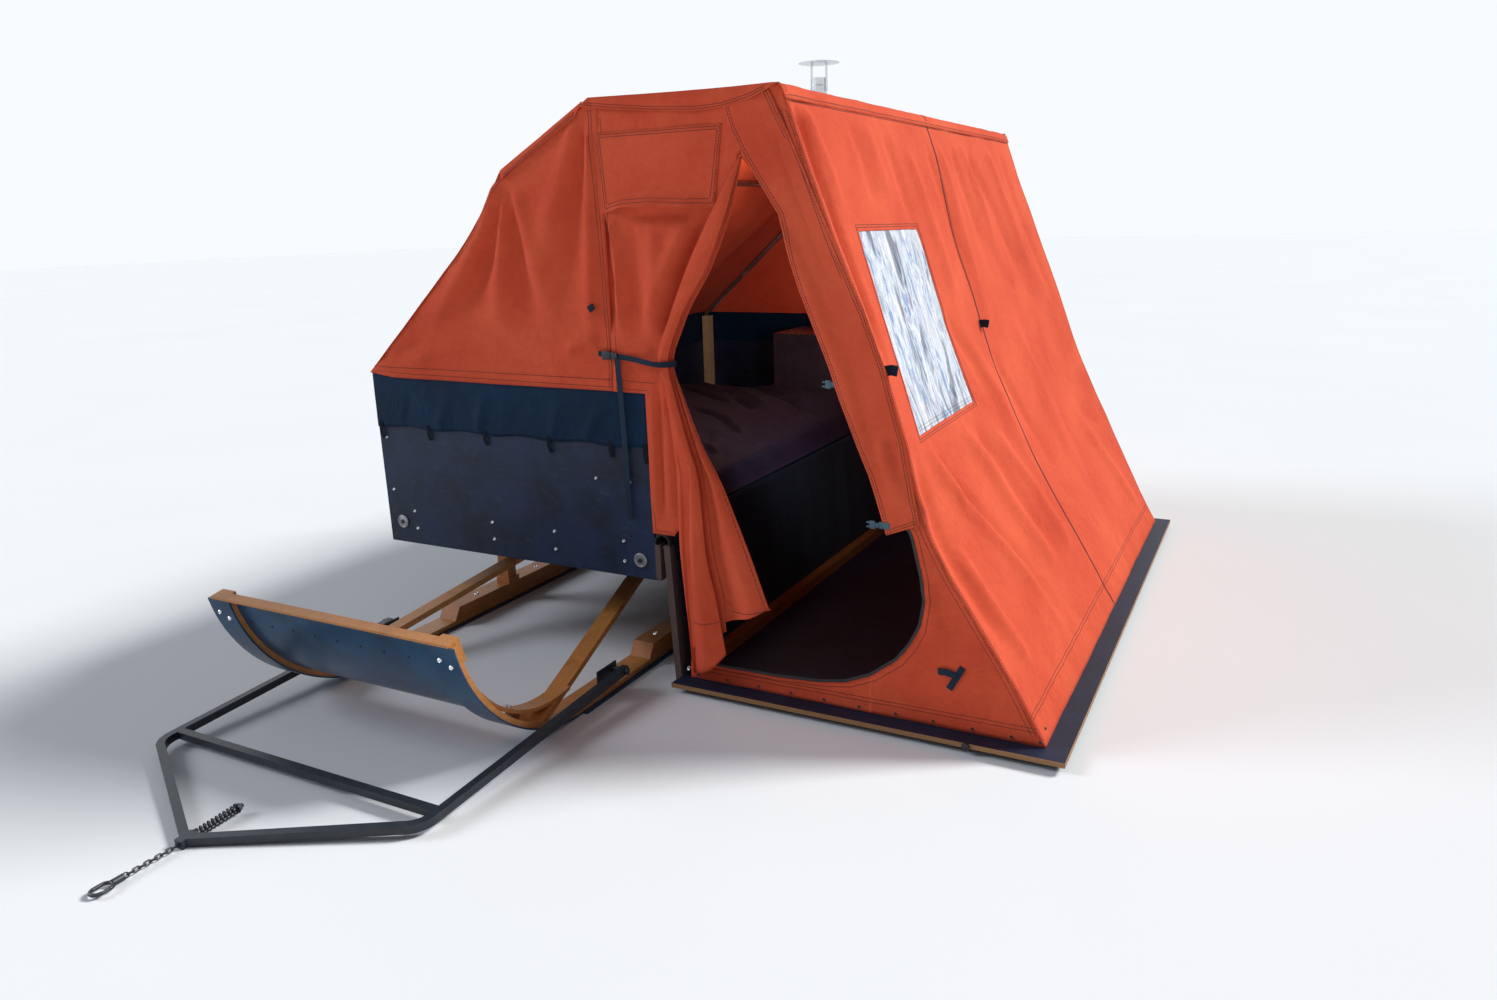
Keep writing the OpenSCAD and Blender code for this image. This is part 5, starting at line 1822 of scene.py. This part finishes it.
@dataclass
class Bed:
    """The mattress with its cover, and the cloth that hangs below it.

    Attributes:
        low: The mattress's lowest corner.
        high: Its highest corner.
        rounding: The width of its rounded edges.
        cut: The width of the strips that its cover is divided into.
        fill: How full of padding it is; not used.
        swell: How far the air may push it out, in metres.
        crown: How far its middle rises, and how much more it does so at the rear.
        liner_top: Height of the hanging cloth's top edge.
        liner_foot: Height of its bottom edge.
    """

    low: Point3 = (-1190, 60, 516.3)
    high: Point3 = (-2, 2050, 636.3)
    rounding: float = 34.0
    cut: float = 26.0
    fill: float = 0.7
    swell: float = 0.03
    crown: Point2 = (14, 32)
    liner_top: float = 560.0
    liner_foot: float = 64.0

    def build(self) -> None:
        """Makes the mattress and the liner."""
        self.mattress()
        self.liner()

    def mattress(self) -> None:
        """Makes the mattress: blown up as cloth, then creased."""
        shape = Shape()
        shape.box(self.low, self.high)
        bm = shape.bm
        bmesh.ops.bevel(bm, geom=list(bm.edges), offset=self.rounding, affect="EDGES", segments=3,
                        profile=0.5, material=-1)
        for axis, start, end in ((0, -1150, 0), (1, 100, 2010)):
            way = [float(i == axis) for i in range(3)]
            for place in np.arange(start, end, self.cut):
                bmesh.ops.bisect_plane(bm, geom=[*bm.verts, *bm.edges, *bm.faces], dist=0.01,
                                       plane_co=Vector(way) * place, plane_no=way)
        piece = SHOP.piece("mattress_pad", shape, COVER, smooth=80)
        self.blow_up(piece)
        self.crease(piece)
        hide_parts("mattress")

    def blow_up(self, piece: bpy.types.Object) -> None:
        """Runs cloth with a little air in it and keeps the result, capped.

        Args:
            piece: The mattress.
        """
        mesh = piece.data
        rest = np.array([v.co for v in mesh.vertices])
        held = piece.vertex_groups.new(name="held")
        bottom = rest[:, 2].min()
        held.add([i for i, p in enumerate(rest) if p[2] < bottom + 0.03], 1, "REPLACE")
        cloth = piece.modifiers.new("cloth", "CLOTH")
        for name, value in (("quality", 5), ("mass", 0.4), ("use_pressure", True),
                            ("uniform_pressure_force", 3), ("vertex_group_mass", "held"),
                            ("shrink_min", -0.03)):
            setattr(cloth.settings, name, value)
        cloth.settings.effector_weights.gravity = 0
        cloth.collision_settings.use_self_collision = False
        scene = bpy.context.scene
        for step in range(1, 16):
            scene.frame_set(step)
        grown = piece.evaluated_get(bpy.context.evaluated_depsgraph_get()).to_mesh()
        moved = np.array([v.co for v in grown.vertices]) - rest
        piece.modifiers.remove(cloth)
        piece.vertex_groups.clear()
        scene.frame_set(1)
        far = np.linalg.norm(moved, axis=1, keepdims=True)
        moved *= np.minimum(1, self.swell / np.maximum(far, 1e-9))
        mesh.vertices.foreach_set("co", (rest + moved).ravel())
        mesh.update()

    def crease(self, piece: bpy.types.Object) -> None:
        """Lays the cover's long soft creases into the mattress.

        Args:
            piece: The mattress.
        """
        folds = creases([
            (-34, 16, 24, .2, .3, -990, 1835, -700, 1600, -437, 1409),
            (24, 16, 24, .2, .3, -940, 1900, -640, 1660, -390, 1470),
            (-28, 14, 22, .2, .3, -1150, 2000, -900, 1960, -648, 1880),
            (-36, 16, 24, .2, .3, -734, 2000, -470, 1850, -214, 1639),
            (24, 14, 22, .2, .3, -690, 2030, -420, 1900, -180, 1700),
            (-34, 16, 22, .2, .3, -598, 1887, -330, 1660, -80, 1471),
            (22, 14, 22, .2, .3, -560, 1940, -300, 1720, -50, 1530),
            (-31, 16, 22, .2, .3, -723, 1773, -480, 1520, -259, 1294),
            (21, 14, 22, .2, .3, -680, 1820, -440, 1580, -220, 1350),
            (-28, 14, 20, .2, .3, -640, 1300, -380, 1150, -120, 900),
            (24, 16, 22, .2, .3, -600, 1000, -300, 760, -40, 640),
            (-10, 13, 20, .2, .3, -330, 960, -190, 700, -90, 520),
            (7, 13, 20, .2, .3, -290, 990, -150, 740, -50, 560),
            (-20, 18, 24, .2, .3, -900, 300, -500, 260, -200, 300)])
        mesh = piece.data
        bm = bmesh.new()
        bm.from_mesh(mesh)
        top = [e for e in bm.edges if all(f.normal.z > 0.6 for f in e.link_faces)]
        bmesh.ops.subdivide_edges(bm, edges=top, cuts=1, use_grid_fill=True)
        bm.to_mesh(mesh)
        bm.free()
        co = np.array([v.co for v in mesh.vertices])
        u = co[:, 0] / MM + MID_X
        v = co[:, 1] / MM + MID_Y
        lift = sum(f.lift(u, v) for f in folds)
        rough = np.array([noise.fractal(Vector((a / 200, b / 200, 2)), 1, 2, 3)
                          for a, b in zip(u, v)])
        share = np.clip((co[:, 2] - 0.56) / 0.06, 0, 1)
        mid = np.clip(1 - np.abs((u + 570) / 620) ** 3, 0, 1)
        crown = (self.crown[0] + self.crown[1] * np.clip((v - 500) / 900, 0, 1)) * mid
        co[:, 2] += share * MM * (lift + 3 * rough + crown)
        mesh.vertices.foreach_set("co", co.ravel())
        mesh.update()
        soft = piece.modifiers.new("soft", "SUBSURF")
        soft.levels = soft.render_levels = 1

    def hang(self, u: float, v: float, lift: float) -> Vector:
        """Returns a place on the liner."""
        share = (self.liner_top - v) / (self.liner_top - self.liner_foot)
        return Vector((62 + 44 * share ** 0.8 + lift, u, v))

    def liner(self) -> None:
        """Makes the dark cloth from the mattress down to the stop batten."""
        top, foot, end = self.liner_top, self.liner_foot, HUT_LEN - 16
        rng = np.random.default_rng(21)
        folds = [Fold(((60 + 130 * i, top), (60 + 130 * i + rng.uniform(-30, 30), foot)),
                      rng.uniform(-4, 6), (24, 40), (0.1, 0.1)) for i in range(18)]
        panel = Panel("bed_liner", [(16, foot), (end, foot), (end, top), (16, top)], self.hang,
                      folds=folds, step=22, ripple=1, seed=15)
        panel.make((), LINER, Held.HUNG, "riser_board")


@dataclass
class Stove:
    """The bands and the seam on the stove's pipe.

    Attributes:
        place: The pipe's axis.
        radius: Its radius, to the middle of the bands.
        bands: Heights of its bands.
    """

    place: Point2 = (-350, 2208)
    radius: float = 38.4
    bands: tuple[float, ...] = (1290, 1980, 2150)

    def build(self) -> None:
        """Makes the bands and the seam."""
        x, y = self.place
        shape = Shape()
        for z in self.bands:
            shape.ring((x, y, z), UP, self.radius, 3, 40)
        shape.box((x - 1.5, y - self.radius - 0.8, 960), (x + 1.5, y - self.radius + 0.8, 2184),
                  0.4)
        SHOP.piece("stove_pipe_bands", shape, BRIGHT)


@dataclass
class Sled:
    """Fastenings on the sled's runners, laminations and nose plate.

    Attributes:
        gauge: The distance between the runners' middles.
        tip: The middle of the runners' bent tips.
        radius: The radius of the soles on the tips.
        bend: The middle of the bent laminations on the stays.
        seat: Where a nut's rod starts and ends from there.
        nuts: The angles of the nuts on each lamination.
        rivets: How many rivets hold the nose plate.
        rivet_gap: The distance from one to the next.
    """

    gauge: float = 913.0
    tip: Point2 = (-320, 550)
    radius: float = 550.0
    bend: Point2 = (-415.7, 480.5)
    seat: Point2 = (393, 382)
    nuts: Point2 = (27, 30)
    rivets: int = 9
    rivet_gap: float = 95.0

    def outward(self, angle: float) -> Vector:
        """Returns the direction that the sole faces on the bent tip."""
        a = math.radians(angle)
        return Vector((0, -math.sin(a), -math.cos(a)))

    def arc(self, height: float, angle: float, x: float) -> Vector:
        """Returns a place on the bent tip, at a height above the sole and an angle."""
        return Vector((x, *self.tip)) + self.outward(angle) * (self.radius - height)

    def build(self) -> None:
        """Makes the screws and nuts, and the nose plate's rivets."""
        screws = Shape()
        half = self.gauge / 2
        for side in (-1, 1):
            middle = SLED_X + side * half
            for x, angle in ((middle - 16, 73), (middle + 18, 71)):
                screws.screw(self.arc(0, angle, x), self.outward(angle), 15)
            screws.screw((middle, 232 - side * 33, 72), UP, 18)
            screws.screw((middle - side * 8, 640, 72), UP, 14)
            for angle in self.nuts:
                bend, out = Vector((middle - side * 14, *self.bend)), self.outward(angle)
                screws.rod(*(bend + radius * out for radius in self.seat), 12, 6)
        SHOP.piece("sled_screws", screws, BRIGHT)
        rivets = Shape()
        for i in range(self.rivets):
            x = SLED_X + self.rivet_gap * (i - (self.rivets - 1) / 2)
            rivets.rod(self.arc(22, 68.5, x), self.arc(24, 68.5, x), 9, 12)
        SHOP.piece("plate_rivets", rivets, RUBBER)


# ---------------------------------------------------------------- frame and studio


NODE_FINISHES = {
    PALE_WOOD: ("left_runner", "right_runner", "nose_crossbar", "nose_stays"),
    BROWN_WOOD: ("runner_timbers", "sled_posts", "cross_beams", "floor_battens"),
    BLUE_PLASTIC: ("left_sole", "right_sole", "nose_plate"),
    BLACK_STEEL: ("tow_brackets", "tow_side_bars", "tow_cross_tube", "tow_nose_plate",
                  "snap_hook", "hitch_rod", "hitch_spring", "tow_chain"),
    FILM_PLY: ("box_floor", "front_wall", "rear_wall", "left_wall", "bed_board"),
    FLOOR_PLY: ("floor_panel",),
    CABINET: ("stove_cabinet",),
    BROWN_BOARD: ("right_low_wall", "riser_board"),
    BARE_WOOD: ("corner_posts",),
    BATTEN: ("stop_batten_bar",),
    RUBBER: ("hinge_strip",),
    BRIGHT: ("cabinet_top", "stove_pipe", "pipe_cap"),
    TUBE: ("frame_bows", "long_tubes"),
}


def dress_frame() -> None:
    """Gives every CAD node its finish."""
    for finish, nodes in NODE_FINISHES.items():
        for node in nodes:
            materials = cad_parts[node].data.materials
            materials.clear()
            materials.append(PAINT.material(finish))
            LOG.info("%s: %s", node, finish.name)


class LampKind(Enum):
    """The kinds of lamp in the studio."""

    SUN = "SUN"
    POINT = "POINT"
    SPOT = "SPOT"


@dataclass(frozen=True)
class Lamp:
    """One lamp of the studio.

    Attributes:
        name: Its name.
        kind: Its kind.
        power: Its strength.
        colour: Its colour.
        aim: The direction that it shines in.
        spread: A sun's width or a spot's cone, in degrees.
        spot: Its place in hut millimetres, where it isn't a sun.
    """

    name: str
    kind: LampKind
    power: float
    colour: Point3
    aim: Point3
    spread: float = 0.0
    spot: Point3 = (0, 0, 0)

    def build(self) -> None:
        """Makes the lamp."""
        data = bpy.data.lights.new(self.name, self.kind.value)
        data.energy = self.power
        data.color = self.colour
        lamp = bpy.data.objects.new(self.name, data)
        lamp.rotation_euler = Vector(self.aim).to_track_quat("-Z", "Y").to_euler()
        if self.kind is LampKind.SUN:
            data.angle = math.radians(self.spread)
        else:
            data.shadow_soft_size = 0.12
            lamp.location = hut_point(*self.spot)
        if self.kind is LampKind.SPOT:
            data.spot_size = math.radians(self.spread)
            data.spot_blend = 0.7
        bpy.context.scene.collection.objects.link(lamp)


@dataclass
class Studio:
    """The floor, the sky, the lamps and the camera at the photograph's angle.

    Attributes:
        place: The camera's place, in metres.
        yaw: Its turn to the left of the hut's length, in degrees.
        pitch: Its tilt downwards.
        roll: Its roll.
        lens: Its focal length.
        sensor: The width of its sensor.
        reach: Half the floor's width, in metres.
        sky: The sky's colour.
        sky_light: The strength with which the sky lights the hut.
        sky_seen: What is added to it where the sky is seen or mirrored.
        lamps: The lamps.
    """

    place: Point3 = (1.7417, -3.2392, 1.5309)
    yaw: float = -27.833
    pitch: float = 15.164
    roll: float = -1.661
    lens: float = 24.917
    sensor: float = 36.0
    reach: float = 60.0
    sky: tuple[float, float, float, float] = (0.94, 0.97, 1, 1)
    sky_light: float = 0.21
    sky_seen: float = 0.79
    lamps: tuple[Lamp, ...] = (
        Lamp("key_light", LampKind.SUN, 3.7, (1, 1, 0.96), (-0.60, -0.52, -0.60), 16),
        Lamp("fill_light", LampKind.SUN, 1.3, (0.9, 0.92, 1), (0.80, 0.32, -0.50), 22),
        Lamp("glow_through_canvas", LampKind.POINT, 6, (1, 0.72, 0.5), (0, 0, -1),
             spot=(-230, 1300, 1500)),
        Lamp("window_light", LampKind.SPOT, 22, (0.9, 0.95, 1), (-1.2, 1.15, -0.44), 84,
             (690, 480, 1090)))

    def build(self) -> None:
        """Makes the studio."""
        self.camera()
        self.floor()
        self.world()
        for lamp in self.lamps:
            lamp.build()
        bpy.context.scene.view_settings.view_transform = "Standard"

    def camera(self) -> None:
        """Makes the camera."""
        yaw, pitch, roll = (math.radians(a) for a in (self.yaw, self.pitch, self.roll))
        ahead = Vector((math.sin(yaw) * math.cos(pitch), math.cos(yaw) * math.cos(pitch),
                        -math.sin(pitch)))
        level = Vector((math.cos(yaw), -math.sin(yaw), 0))
        above = level.cross(ahead)
        right = level * math.cos(roll) + above * math.sin(roll)
        up = -level * math.sin(roll) + above * math.cos(roll)
        data = bpy.data.cameras.new("photo_camera")
        data.sensor_width = self.sensor
        data.lens = self.lens
        data.clip_end = 200
        camera = bpy.data.objects.new("photo_camera", data)
        turn = Matrix((right, up, -ahead)).transposed().to_4x4()
        camera.matrix_world = Matrix.Translation(self.place) @ turn
        bpy.context.scene.collection.objects.link(camera)
        bpy.context.scene.camera = camera

    def floor(self) -> None:
        """Makes the pale floor."""
        bm = bmesh.new()
        bmesh.ops.create_grid(bm, x_segments=2, y_segments=2, size=self.reach)
        mesh = bpy.data.meshes.new("studio_floor")
        bm.to_mesh(mesh)
        bm.free()
        floor = bpy.data.objects.new("studio_floor", mesh)
        mesh.materials.append(PAINT.material(STUDIO))
        bpy.context.scene.collection.objects.link(floor)

    def world(self) -> None:
        """Makes the even sky, brighter where it is seen than where it lights the hut."""
        world = bpy.data.worlds.new("studio_sky")
        bpy.context.scene.world = world
        world.use_nodes = True
        tree = Tree(world.node_tree)
        sky = world.node_tree.nodes["Background"].inputs
        sky["Color"].default_value = self.sky
        paths = tree.add("LightPath").outputs
        seen = tree.math("MAXIMUM", tree.math("MAXIMUM", paths["Is Camera Ray"],
                                              paths["Is Glossy Ray"]),
                         paths["Is Transmission Ray"])
        tree.put(tree.math("ADD", tree.math("MULTIPLY", seen, self.sky_seen), self.sky_light),
                 sky["Strength"])


def main() -> None:
    """Builds the hut's looks in order and reports each piece."""
    logging.basicConfig(level=logging.INFO, format="%(name)s %(message)s")
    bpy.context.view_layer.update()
    Studio().build()
    dress_frame()
    for part in (Tent(), Door(), Skirt(), Box(), Bed(), Stove(), Sled()):
        part.build()
        LOG.info("%s is done", type(part).__name__)
    LOG.info("%d pieces made", SHOP.made)


if __name__ == "__main__":
    main()
